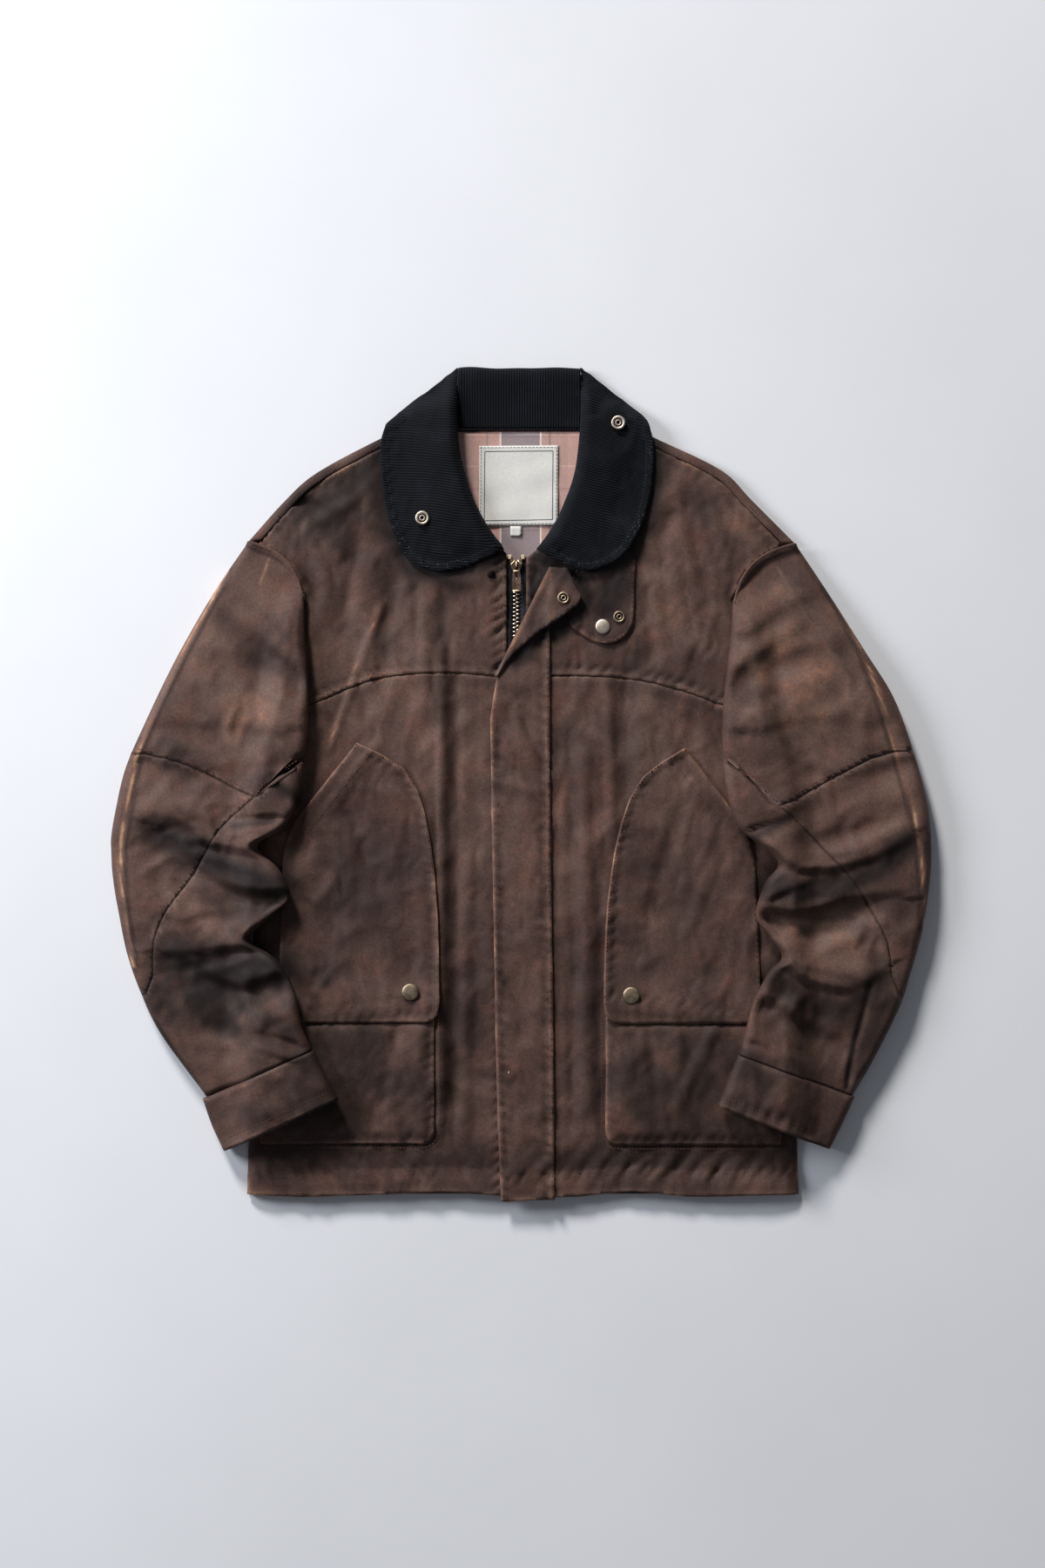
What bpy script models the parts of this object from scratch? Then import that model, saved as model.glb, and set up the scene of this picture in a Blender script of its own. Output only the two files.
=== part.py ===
"""A waxed cotton jacket lying flat on its back, with a corduroy collar.

Lengths in this file are millimetres until an object is made, when MM turns them into metres.
+X is to the right, +Y is towards the collar, +Z is up, and the surface it lies on is z = 0.
The ending _r is the wearer's right, at -X, and _l is the wearer's left, at +X.
"""
import math

import bmesh
import bpy
import numpy as np
from mathutils import Matrix, Vector, geometry

MM = 0.001

# ---------------------------------------------------------------- driving dimensions
CLOTH = 1.6              # a waxed shell with its backing
CORD = 2.4               # corduroy collar, two plies
LINING = 1.0
SEAM = 0.3               # gap between pieces that are sewn together
REST = 0.9               # gap under a piece that lies on another
LATTICE = 24.0           # spacing of the points that the panels share
FRONT_Z = 8.0            # underside of the fronts, over the middle
SIDE_Z = 2.2             # underside of the fronts at the side folds
SIDE_ROUND = 24.0        # how far in from the side the fold's rounding reaches
SHOULDER_WRAP = 9.0      # the back rolls over the shoulder this far, to the seam
HEM_Y = -376.0
FRONT_EDGE_X = -13.0     # right front's edge, beside the zip
UNDER_EDGE_X = 5.0       # left front's edge, under the storm flap
FLAP_SEAM_X = 27.0       # where the storm flap is sewn to the left front
FLAP_TURN = 2.1          # outer radius of the fold in the turned-back corner
ZIP_X = -4.0
ZIP_TOP_Y = 204.0
ZIP_BOTTOM_Y = -362.0
PULL_AXIS_Y = 201.0
PULL_AXIS_Z = 12.2
SLEEVE_RAMP = 26.0       # the sleeve climbs from the surface on to the body in this length
BAG_DEPTH = 3.6          # how far a bellows bag stands off the front

# Outlines: x, y. Round stretches go through smooth_path().
SHOULDER = {"r": [(-84, 337), (-126, 318), (-186, 286), (-215, 261), (-250, 222)],
            "l": [(84, 335), (130, 314), (185, 287), (211, 261), (252, 220)]}
BODY_SIDE = {"r": [(-198, 170), (-210, 140), (-218, 70), (-240, -20), (-245, -180), (-250, HEM_Y)],
             "l": [(194, 167), (207, 140), (217, 70), (241, -20), (247, -180), (254, HEM_Y)]}
YOKE_SEAM = {"r": [(-191, 73), (-157, 88), (-125, 98), (-68, 102), (FRONT_EDGE_X, 98)],
             "l": [(182, 73), (156, 83), (110, 95), (60, 99), (UNDER_EDGE_X, 99)]}
NECK_EDGE = {"r": [(-84, 327), (-71, 316), (-66, 298), (-57, 264), (-42, 238), (FRONT_EDGE_X, 211)],
             "l": [(84, 325), (70, 314), (64, 296), (55, 262), (40, 234), (UNDER_EDGE_X, 207)]}
HEM = {"r": [(-250, HEM_Y), (-194, -378), (-90, -374), (-61, -374), (FRONT_EDGE_X, -377)],
       "l": [(254, HEM_Y), (200, -377), (154, -378), (103, -373), (50, -378), (UNDER_EDGE_X, -378)]}
POCKET_FRONT = {
    "r": [(-150, 38), (-114, 20), (-97, 1), (-87, -28), (-79, -78), (-75, -128), (-74, -200)],
    "l": [(150, 33), (117, 12), (100, -12), (88, -50), (80, -100), (77, -145), (76, -200)]}
POCKET_BACK = {"r": [(-222, -218), (-218, -60), (-207, -34)],
               "l": [(221, -219), (214, -60), (200, -32)]}
POCKET_CORNER = 14.0
POCKET_BAG = {"r": {"inner": -79, "outer": -238, "top": -212, "bottom": -329},
              "l": {"inner": 78, "outer": 238, "top": -213, "bottom": -330}}
FLAP_FREE = [(-18, -382), (-22, -280), (-25, -120), (-27, 0), (-28, 60), (-24, 99)]
FLAP_SEWN = [(FLAP_SEAM_X + 4, -380), (FLAP_SEAM_X + 3, -230), (FLAP_SEAM_X, 0), (FLAP_SEAM_X, 196)]
TURN_FOLD = [(-24, 99), (26, 199)]
TURN_EDGE = [(-8, 117), (14, 137), (38, 153), (56, 168), (50, 182), (42, 199)]
LATCH = [(62, 214), (101, 214), (104, 180), (103, 150), (98, 138), (86, 130), (72, 129),
         (58, 136), (44, 148), (44, 182)]

# Sleeve sections, from the armhole to the cuff seam. Columns: outer edge x, y; inner edge x, y;
# height of the flattened tube; bow of the section line towards the collar.
SLEEVE = {
    "r": [(-250, 222, -198, 170, 10.5, 12.7), (-282, 174, -197, 140, 13, 8),
          (-316, 114, -194, 98, 15, 3), (-344, 56, -194, 56, 15, 0), (-362, 14, -198, 13, 15, 0),
          (-371, -24, -206, -22, 15, 0), (-375, -48, -219, -42, 15, 0),
          (-375, -62, -240, -57, 14, 0), (-374, -80, -220, -78, 16, 0),
          (-371, -102, -210, -103, 17, 0), (-368, -118, -227, -120, 16, 0),
          (-364, -140, -246, -142, 14, 0), (-359, -160, -222, -160, 15, 0),
          (-349, -188, -206, -187, 15, 0), (-330, -228, -199, -220, 14, 0),
          (-288, -286, -190, -242, 12, 0)],
    "l": [(252, 220, 194, 167, 10.5, 12.7), (283, 173, 192, 137, 13, 8),
          (315, 122, 188, 105, 15, 3), (342, 78, 184, 66, 15, 0), (360, 28, 184, 28, 15, 0),
          (371, -12, 188, -8, 15, 0), (375, -38, 199, -40, 15, 0), (376, -62, 234, -70, 14, 0),
          (375, -84, 222, -91, 16, 0), (372, -108, 214, -120, 17, 0),
          (368, -132, 226, -138, 16, 0), (362, -156, 238, -158, 14, 0),
          (356, -176, 225, -172, 15, 0), (346, -206, 211, -200, 15, 0),
          (322, -254, 203, -230, 14, 0), (304, -285, 199, -246, 12, 0)]}
CUFF = {"r": [(-291.4, -288.2, -188.8, -242.2, 12.5, 0), (-283, -312, -178, -264, 13, 0),
              (-272, -336, -166, -287, 12, 0)],
        "l": [(305.7, -286.3, 197.9, -246.2, 12.5, 0), (295, -310, 189, -269, 13, 0),
              (283, -334, 179, -293, 12, 0)]}
V_SEAM = {"r": [(-430, 30), (-344, 27), (-293, 12), (-242, -12), (-224, 3), (-150, 48)],
          "l": [(430, 30), (341, 29), (285, 5), (235, -20), (210, 2), (140, 60)]}
ELBOW_SEAM = {"r": [(-242, -12), (-275, -42), (-298, -82), (-322, -114), (-335, -145),
                    (-341, -190), (-400, -225)],
              "l": [(235, -20), (259, -42), (298, -82), (315, -107), (335, -145), (345, -190),
                    (400, -230)]}

# Soft folds. Columns: start x, y; end x, y; half width; height, negative for a trough.
BODY_FOLDS = [(-76, 150, -78, -330, 28, 2.0), (-104, 190, -112, 110, 26, -1.4),
              (-166, 190, -158, 40, 26, -1.4), (60, 90, 64, -330, 28, 1.8),
              (96, 120, 92, 20, 26, -1.2), (150, 250, 168, 110, 28, 1.4),
              (-150, 250, -120, 140, 28, 1.3), (-40, 60, -52, -300, 26, -1.2)]
SLEEVE_FOLDS = {
    "r": [(-236, -57, -330, -30, 16, -3.6), (-246, -142, -330, -92, 17, -4.0),
          (-212, -103, -300, -92, 18, 2.6), (-224, 100, -276, 112, 20, -3.2),
          (-205, -186, -300, -236, 18, -2.2), (-236, -20, -322, 40, 20, 1.8)],
    "l": [(234, -70, 330, -36, 16, -3.6), (238, -158, 330, -110, 17, -4.0),
          (216, -120, 300, -104, 18, 2.6), (196, 102, 262, 112, 20, -3.2),
          (210, -200, 300, -244, 18, -2.2), (230, -28, 322, 36, 20, 1.8)]}

# Collar leaves: outer edge from the crest's corner round to the zip, then the roll line back up.
LEAF_OUTER = {"r": [(-57, 381), (-88, 358), (-114, 336), (-125, 325), (-129, 303), (-127, 276),
                    (-122, 246), (-112, 220), (-100, 203), (-84, 196), (-68, 195), (-48, 200),
                    (-30, 208), (-15, 214)],
              "l": [(54, 381), (79, 363), (100, 345), (115, 332), (121, 314), (121, 282),
                    (114, 246), (102, 220), (89, 205), (75, 198), (59, 195), (45, 199),
                    (30, 206), (15, 214)]}
LEAF_ROLL = {"r": [(-15, 214), (-24, 224), (-35, 240), (-46, 262), (-53, 284), (-58, 306),
                   (-60, 342), (-58, 372), (-57, 381)],
             "l": [(15, 214), (24, 224), (34, 240), (43, 260), (50, 280), (54, 302),
                   (57, 342), (56, 372), (54, 381)]}
ROLL_Z = 20.0            # underside of a leaf along its roll
ROLL_DROP = 7.0          # the leaf turns down this far inside its roll
LATCH_RISE = 5.0         # the left leaf lies on the latch and on the turned-back corner
CREST_Y = 381.0
STAND_FOOT_Y = 325.6
STAND_EDGE = {"r": [(-62, 325), (-62.5, 345), (-58.0, 358), (-57.2, 372), (-56.4, 382)],
              "l": [(59, 325), (59.5, 345), (55.6, 358), (55.0, 372), (53.4, 382)]}
BACK_FALL = 44.0         # depth of the fall behind the neck


# ---------------------------------------------------------------- paths and distances
def smooth_path(points, steps=4):
    """A curve through the points (Catmull-Rom), with steps pieces between each two."""
    path = np.array(points, float)
    ends = np.vstack([2 * path[0] - path[1], path, 2 * path[-1] - path[-2]])
    curve = []
    for i in range(1, len(ends) - 2):
        before, start, end, after = ends[i - 1:i + 3]
        for t in np.arange(steps) / steps:
            curve.append(0.5 * (2 * start + (end - before) * t
                                + (2 * before - 5 * start + 4 * end - after) * t ** 2
                                + (3 * start - before - 3 * end + after) * t ** 3))
    return np.vstack(curve + [path[-1]])


def even(path, spacing=None, count=None):
    """The same path with points about spacing apart, or in count steps; both ends kept."""
    path = np.array(path, float)
    runs = np.r_[0, np.cumsum(np.linalg.norm(np.diff(path, axis=0), axis=1))]
    count = count or max(1, round(runs[-1] / spacing))
    places = np.linspace(0, runs[-1], count + 1)
    return np.stack([np.interp(places, runs, column) for column in path.T], axis=1)


def outline(*runs):
    """One closed outline from runs of points that follow each other."""
    points = []
    for point in np.vstack(runs):
        if not points or np.linalg.norm(point - points[-1]) > 0.05:
            points.append(point)
    if np.linalg.norm(points[0] - points[-1]) < 0.05:
        points.pop()
    return np.array(points)


def nearest(x, y, path):
    """Distance from each x, y to the path."""
    path = np.array(path, float)
    start, step = path[:-1], np.diff(path, axis=0)
    to_x = x[..., None] - start[:, 0]
    to_y = y[..., None] - start[:, 1]
    t = np.clip((to_x * step[:, 0] + to_y * step[:, 1]) / (step ** 2).sum(1), 0, 1)
    return np.hypot(to_x - t * step[:, 0], to_y - t * step[:, 1]).min(-1)


def inside(x, y, loop):
    """Whether each x, y is in the closed outline."""
    hit = np.zeros(np.shape(x), bool)
    for (ax, ay), (bx, by) in zip(loop, np.roll(loop, -1, axis=0)):
        if ay != by:
            hit ^= ((ay > y) != (by > y)) & (x < (bx - ax) * (y - ay) / (by - ay) + ax)
    return hit


def ease(t):
    """0 to 1, with a soft start and end."""
    t = np.clip(t, 0, 1)
    return t * t * (3 - 2 * t)


def seam_points(side, count=9, shift=0.0):
    """The armhole seam: a bowed line from the shoulder tip to the front of the underarm."""
    ox, oy, ix, iy, _, bow = SLEEVE[side][0]
    outer, inner = np.array([ox, oy], float), np.array([ix, iy], float)
    along = inner - outer
    across = np.array([-along[1], along[0]]) / np.linalg.norm(along)
    across *= np.sign(across[1])
    t = np.linspace(0, 1, count + 1)[:, None]
    return outer + along * t + across * (bow * np.sin(np.pi * t) + shift)


BODY_EDGE = {side: smooth_path(BODY_SIDE[side]) for side in "rl"}
BODY_LOOP = {side: outline(BODY_EDGE[side], [(0, HEM_Y), (0, 330)], smooth_path(SHOULDER[side]),
                           seam_points(side)) for side in "rl"}


# ---------------------------------------------------------------- the lie of the cloth
def fold_height(x, y, folds):
    """Sum of the soft ridges and troughs in the table, each fading out towards its ends."""
    total = np.zeros(np.shape(x))
    for ax, ay, bx, by, half_width, height in folds:
        length = math.hypot(bx - ax, by - ay)
        ux, uy = (bx - ax) / length, (by - ay) / length
        along = (x - ax) * ux + (y - ay) * uy
        across = np.minimum(abs((y - ay) * ux - (x - ax) * uy) / half_width, 1)
        fade = ease((along + half_width) / (2 * half_width))
        fade = fade * ease((length + half_width - along) / (2 * half_width))
        total += height * fade * 0.5 * (1 + np.cos(np.pi * across))
    return total


def by_side(x, y, rule):
    """rule(x, y, side) for every place, with the side that each place is on."""
    return np.where(x < 0, rule(x, y, "r"), rule(x, y, "l"))


def front_under(x, y):
    """Underside of the fronts and yokes: level in the middle, rounded down to the side folds."""
    edge = by_side(x, y, lambda x, y, side: nearest(x, y, BODY_EDGE[side]))
    rounding = np.sqrt(1 - (1 - np.minimum(edge / SIDE_ROUND, 1)) ** 2)
    return SIDE_Z + rounding * (FRONT_Z - SIDE_Z + fold_height(x, y, BODY_FOLDS))


def bag_inward(x, y, side):
    """How far a place is inside the bellows bag's outline; negative outside it."""
    bag = POCKET_BAG[side]
    across = np.minimum(abs(x) - abs(bag["inner"]), abs(bag["outer"]) - abs(x))
    return np.minimum(across, np.minimum(y - bag["bottom"], bag["top"] - y))


def bag_under(x, y):
    """Underside of a bellows bag, standing off the front a little way in from its edge."""
    inward = by_side(x, y, bag_inward)
    return front_under(x, y) + CLOTH + REST + BAG_DEPTH * ease(inward / 14)


def pocket_under(x, y):
    """Underside of the hand-warmer patch, whose lower edge rises over the bag."""
    rise = BAG_DEPTH + CLOTH - 1.0
    return front_under(x, y) + CLOTH + REST + rise * ease((-172 - y) / 36)


def storm_under(x, y):
    """Underside of the storm flap, on the fronts."""
    return front_under(x, y) + CLOTH + REST


def sleeve_climb(x, y, side):
    """1 over the body, easing to 0 on the surface outside it."""
    edge = nearest(x, y, BODY_EDGE[side])
    return np.where(inside(x, y, BODY_LOOP[side]), 1.0, ease(1 - edge / SLEEVE_RAMP))


def sleeve_under(x, y, side):
    """Underside of a sleeve, on the surface or on the body and its pockets."""
    patch = pocket_outline(side)
    beyond = np.where(inside(x, y, patch), 0, nearest(x, y, outline(patch, patch[:1])))
    bag = -np.minimum(bag_inward(x, y, side), 0)
    flap = CLOTH + REST + 0.4 + (BAG_DEPTH + CLOTH) * ease((-140 - y) / 40)
    pocket = np.maximum(flap * ease(1 - beyond / 22), 8.6 * ease(1 - bag / 26))
    folds = np.maximum(fold_height(x, y, BODY_FOLDS), 0)
    return sleeve_climb(x, y, side) * (FRONT_Z + CLOTH + REST + 0.6 + folds + pocket)


def pocket_outline(side):
    """The hand-warmer patch: curved front edge, rounded lower corner, slanted opening."""
    front = even(smooth_path(POCKET_FRONT[side]), LATTICE)
    sign = -1 if side == "r" else 1
    turn = np.linspace(0, math.pi / 2, 4)[1:]
    low_y = POCKET_BACK[side][0][1]
    corner_x = sign * (abs(POCKET_FRONT[side][-1][0]) + POCKET_CORNER * (1 - np.cos(turn)))
    corner_y = low_y + POCKET_CORNER * (1 - np.sin(turn))
    lower = even([(corner_x[-1], low_y), POCKET_BACK[side][0]], LATTICE)
    back = even(POCKET_BACK[side], LATTICE)
    opening = even([POCKET_BACK[side][-1], POCKET_FRONT[side][0]], LATTICE)
    return outline(front, np.stack([corner_x, corner_y], axis=1), lower, back, opening)


# ---------------------------------------------------------------- finishes
def finish(name, hex_colour, roughness, metallic=0.0):
    """A plain finish from an sRGB hex colour."""
    made = bpy.data.materials.get(name)
    if made is None:
        made = bpy.data.materials.new(name)
        made.use_nodes = True
        channels = [int(hex_colour[i:i + 2], 16) / 255 for i in (0, 2, 4)]
        linear = [c / 12.92 if c <= 0.04045 else ((c + 0.055) / 1.055) ** 2.4 for c in channels]
        shader = made.node_tree.nodes["Principled BSDF"]
        shader.inputs["Base Color"].default_value = (*linear, 1)
        shader.inputs["Roughness"].default_value = roughness
        shader.inputs["Metallic"].default_value = metallic
    return made


def waxed_cotton():
    return finish("waxed_cotton", "4A3830", 0.62)


def corduroy():
    return finish("black_corduroy", "0C0D11", 0.9)


def check_lining():
    return finish("check_lining", "7C6662", 0.85)


def label_cloth():
    return finish("label_cloth", "D9D6CE", 0.8)


def zip_tape():
    return finish("zip_tape", "1B1A1F", 0.85)


def antique_brass():
    return finish("antique_brass", "8A7A5C", 0.38, 1.0)


def pale_nickel():
    return finish("pale_nickel", "B8AA98", 0.3, 1.0)


# ---------------------------------------------------------------- making solids
def add_object(name, data, look):
    """Puts a mesh of millimetre points in the scene at its real size."""
    data.transform(Matrix.Scale(MM, 4))
    data.materials.append(look)
    data.shade_smooth()
    data.set_sharp_from_angle(angle=math.radians(40))
    made = bpy.data.objects.new(name, data)
    bpy.context.collection.objects.link(made)
    return made


def add_wall(made, wall, grow):
    """Gives a surface its wall: grow 1 adds it on the outer side, -1 inside, 0 both ways."""
    solidify = made.modifiers.new("wall", "SOLIDIFY")
    solidify.thickness = wall * MM
    solidify.offset = grow
    solidify.use_even_offset = True
    solidify.use_quality_normals = True
    return made


def surface(name, patches, wall, grow, look):
    """One wall from patches of (points, faces) that share their border points."""
    data = bpy.data.meshes.new(name)
    shape = bmesh.new()
    for points, faces in patches:
        verts = [shape.verts.new(tuple(map(float, point))) for point in points]
        for face in faces:
            shape.faces.new([verts[i] for i in face])
    bmesh.ops.remove_doubles(shape, verts=shape.verts, dist=0.02)
    shape.to_mesh(data)
    shape.free()
    return add_wall(add_object(name, data, look), wall, grow)


def cut_patch(loop, height, spacing=LATTICE):
    """A flat-cut shape: its outline filled on the shared lattice, and laid at height(x, y)."""
    low, high = loop.min(0), loop.max(0)
    row_height = spacing * math.sqrt(3) / 2
    rows = np.arange(math.floor(low[1] / row_height), math.ceil(high[1] / row_height) + 1)
    columns = np.arange(math.floor(low[0] / spacing) - 1, math.ceil(high[0] / spacing) + 1)
    column, row = np.meshgrid(columns, rows)
    x = (column * spacing + np.where(row % 2, spacing / 2, 0)).ravel()
    y = (row * row_height).ravel()
    keep = inside(x, y, loop) & (nearest(x, y, np.vstack([loop, loop[:1]])) > 0.45 * spacing)
    flat = [Vector(point) for point in loop] + [Vector(point) for point in zip(x[keep], y[keep])]
    filled = geometry.delaunay_2d_cdt(flat, [], [list(range(len(loop)))], 1, 1e-4)
    places = np.array([tuple(point) for point in filled[0]])
    z = height(places[:, 0], places[:, 1])
    faces = []
    for face in filled[2]:
        (ax, ay), (bx, by), (cx, cy) = places[list(face)[:3]]
        turn = (bx - ax) * (cy - ay) - (by - ay) * (cx - ax)
        faces.append(list(face) if turn > 0 else list(face)[::-1])
    return np.column_stack([places, z]), faces


def strip_patch(rows, closed=False):
    """Faces through rows that have the same number of points."""
    count = len(rows[0])
    last = count if closed else count - 1
    faces = [(i * count + k, (i + 1) * count + k, (i + 1) * count + (k + 1) % count,
              i * count + (k + 1) % count) for i in range(len(rows) - 1) for k in range(last)]
    return np.vstack(rows), faces


def panel(name, loop, height, wall=CLOTH, look=None, spacing=LATTICE):
    """A flat-cut piece with its underside at height(x, y)."""
    return surface(name, [cut_patch(loop, height, spacing)], wall, 1, look or waxed_cotton())


def roll_rows(feet, inward, radius, base, steps=5):
    """Rows of a half-round fold along feet: from below, at radius inward, round to the top."""
    rows = []
    for foot, way, z in zip(feet, inward, base):
        turn = np.linspace(0, math.pi, steps + 1)
        plan = foot + way * (radius - radius * np.sin(turn))[:, None]
        rows.append(np.column_stack([plan, z + radius - radius * np.cos(turn)]))
    return rows


def turned(name, place, profile, look, sides=12):
    """A turned solid from its radius, height profile, which starts and ends on a flat."""
    x, y, z = place
    turn = np.linspace(0, 2 * math.pi, sides, endpoint=False)
    rows = [np.column_stack([x + radius * np.cos(turn), y + radius * np.sin(turn),
                             np.full(sides, z + height)]) for radius, height in profile]
    points, faces = strip_patch(rows, closed=True)
    data = bpy.data.meshes.new(name)
    last = len(points) - sides
    data.from_pydata(points.tolist(), [], faces + [list(range(sides)), list(range(last, last + sides))])
    shape = bmesh.new()
    shape.from_mesh(data)
    bmesh.ops.recalc_face_normals(shape, faces=shape.faces)
    shape.to_mesh(data)
    shape.free()
    return add_object(name, data, look)


def raised(name, loop, low, high, look, bevel=0.0):
    """An outline raised from low to high, with its edges eased."""
    shape = bmesh.new()
    face = shape.faces.new([shape.verts.new((x, y, low)) for x, y in loop])
    pushed = bmesh.ops.extrude_face_region(shape, geom=[face])
    top = [item for item in pushed["geom"] if isinstance(item, bmesh.types.BMVert)]
    bmesh.ops.translate(shape, verts=top, vec=(0, 0, high - low))
    bmesh.ops.recalc_face_normals(shape, faces=shape.faces)
    if bevel:
        bmesh.ops.bevel(shape, geom=list(shape.edges), offset=bevel, segments=1, affect="EDGES")
    data = bpy.data.meshes.new(name)
    shape.to_mesh(data)
    shape.free()
    return add_object(name, data, look)


def box_loop(low_x, low_y, high_x, high_y):
    return np.array([(low_x, low_y), (high_x, low_y), (high_x, high_y), (low_x, high_y)], float)


# ---------------------------------------------------------------- body pieces
def armhole_run(side):
    """The body's edge at the armhole seam, SEAM clear of the sleeve's first section."""
    return seam_points(side, shift=SEAM + 0.2)


def shoulder_feet(side):
    """Points along the shoulder fold, the way inwards, and the slant that meets the armhole."""
    line = even(smooth_path(SHOULDER[side]), 20)
    along = np.gradient(line, axis=0)
    along /= np.linalg.norm(along, axis=1)[:, None]
    flip = 1 if side == "r" else -1
    inward = flip * np.stack([-along[:, 1], along[:, 0]], axis=1)
    from_tip = np.linalg.norm(line - line[-1], axis=1)
    slant = 0.95 * np.clip(1 - from_tip / 40, 0, 1)
    line[-1] -= along[-1] * 1.0
    return line, inward - along * slant[:, None]


def make_back():
    """The back lies flat, and rolls over each shoulder to the seam with the yoke."""
    radius = (FRONT_Z + CLOTH) / 2
    patches = []
    flat_edge = {}
    for side in "rl":
        feet, inward = shoulder_feet(side)
        rows = roll_rows(feet, inward, radius, np.zeros(len(feet)))
        seam = feet + inward * (SHOULDER_WRAP - SEAM)
        rows = [np.vstack([row, (*end, 2 * radius)]) for row, end in zip(rows, seam)]
        patches.append(strip_patch(rows if side == "l" else rows[::-1]))
        flat_edge[side] = np.array([row[0, :2] for row in rows])
    edges = {}
    for side in "rl":
        tip = armhole_run(side)
        tip = tip[np.linalg.norm(tip - flat_edge[side][-1], axis=1) > 3][1:]
        edges[side] = np.vstack([flat_edge[side], tip, even(BODY_EDGE[side], 24)[1:]])
    neck = even([(68, 325), (-70, 325)], 24)
    hem = even([edges["r"][-1], edges["l"][-1]], 24)
    loop = outline(edges["r"], hem, edges["l"][::-1], neck)
    patches.append(cut_patch(loop, lambda x, y: 0 * x, 2 * LATTICE))
    surface("back_panel", patches, CLOTH, 1, waxed_cotton())


def front_edge_x(side):
    return FRONT_EDGE_X if side == "r" else UNDER_EDGE_X


def yoke_bottom(side, shift):
    """The yoke seam, carried on under the sleeve to the armhole."""
    seam = smooth_path(YOKE_SEAM[side])
    edge = BODY_EDGE[side][np.abs(BODY_EDGE[side][:, 1] - 66).argmin()]
    run = even(np.vstack([edge, seam]), 12)
    return run + np.array([0, shift])


def make_yokes():
    for side in "rl":
        feet, inward = shoulder_feet(side)
        shoulder = feet + inward * SHOULDER_WRAP
        armhole = armhole_run(side)
        armhole = armhole[np.linalg.norm(armhole - shoulder[-1], axis=1) > 5][1:]
        bottom = yoke_bottom(side, SEAM / 2)
        under = BODY_EDGE[side]
        under = under[(under[:, 1] > bottom[0, 1] + 4) & (under[:, 1] < armhole[-1, 1] - 3)]
        front = even([bottom[-1], NECK_EDGE[side][-1]], LATTICE)
        neck = even(smooth_path(NECK_EDGE[side][::-1]), 14)
        panel("yoke_" + side, outline(shoulder, armhole, under, bottom, front, neck), front_under)


def make_fronts():
    for side in "rl":
        top = yoke_bottom(side, -SEAM / 2)
        sides = BODY_EDGE[side]
        sides = even(np.vstack([top[0], sides[sides[:, 1] < top[0, 1] - 6]]), LATTICE)
        hem = even(smooth_path(HEM[side]), LATTICE)
        front = even([(front_edge_x(side), hem[-1, 1]), top[-1]], LATTICE)
        panel("front_" + side, outline(sides, hem, front, top[::-1]), front_under)


def make_storm_flap():
    """A strip over the zip, sewn at one edge; its top corner is folded back on itself."""
    fold = even(TURN_FOLD, 14)
    along = (fold[-1] - fold[0]) / np.linalg.norm(fold[-1] - fold[0])
    inward = np.tile([along[1], -along[0]], (len(fold), 1))
    flat_edge = fold + inward * FLAP_TURN
    base = storm_under(flat_edge[:, 0], flat_edge[:, 1])
    rows = roll_rows(fold, inward, FLAP_TURN, base)
    main = outline(even(smooth_path(FLAP_FREE[:-1]), 16), flat_edge,
                   even(smooth_path(FLAP_SEWN[::-1]), 16), [FLAP_FREE[0]])
    free = smooth_path(TURN_EDGE[::-1] + [tuple(flat_edge[0])])
    turned_loop = outline(flat_edge, even(free, 10))
    top = cut_patch(turned_loop, lambda x, y: storm_under(x, y) + 2 * FLAP_TURN, 18)
    top = (top[0], [face[::-1] for face in top[1]])
    patches = [cut_patch(main, storm_under, 22), strip_patch(rows), top]
    surface("storm_flap", patches, CLOTH, 1, waxed_cotton())


def make_pockets():
    for side in "rl":
        bag = POCKET_BAG[side]
        panel("pocket_flap_" + side, pocket_outline(side), pocket_under)
        corner = 12.0
        sign = -1 if side == "r" else 1
        inner, outer = abs(bag["inner"]), abs(bag["outer"])
        low, high = bag["bottom"], bag["top"]
        turn = np.linspace(0, math.pi / 2, 4)
        round_corner = np.stack([sign * (inner + corner * (1 - np.sin(turn))),
                                 low + corner * (1 - np.cos(turn))], axis=1)
        loop = outline(even([(sign * outer, high), (sign * outer, low)], 14),
                       even([(sign * outer, low), round_corner[0]], 14), round_corner,
                       even([round_corner[-1], (sign * inner, high)], 14),
                       even([(sign * inner, high), (sign * outer, high)], 14))
        panel("pocket_bag_" + side, loop, bag_under, spacing=14)


def make_latch():
    loop = outline(even(smooth_path(LATCH + LATCH[:1], 3), 8))
    panel("throat_latch", loop, lambda x, y: front_under(x, y) + CLOTH + REST, wall=1.9)


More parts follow.
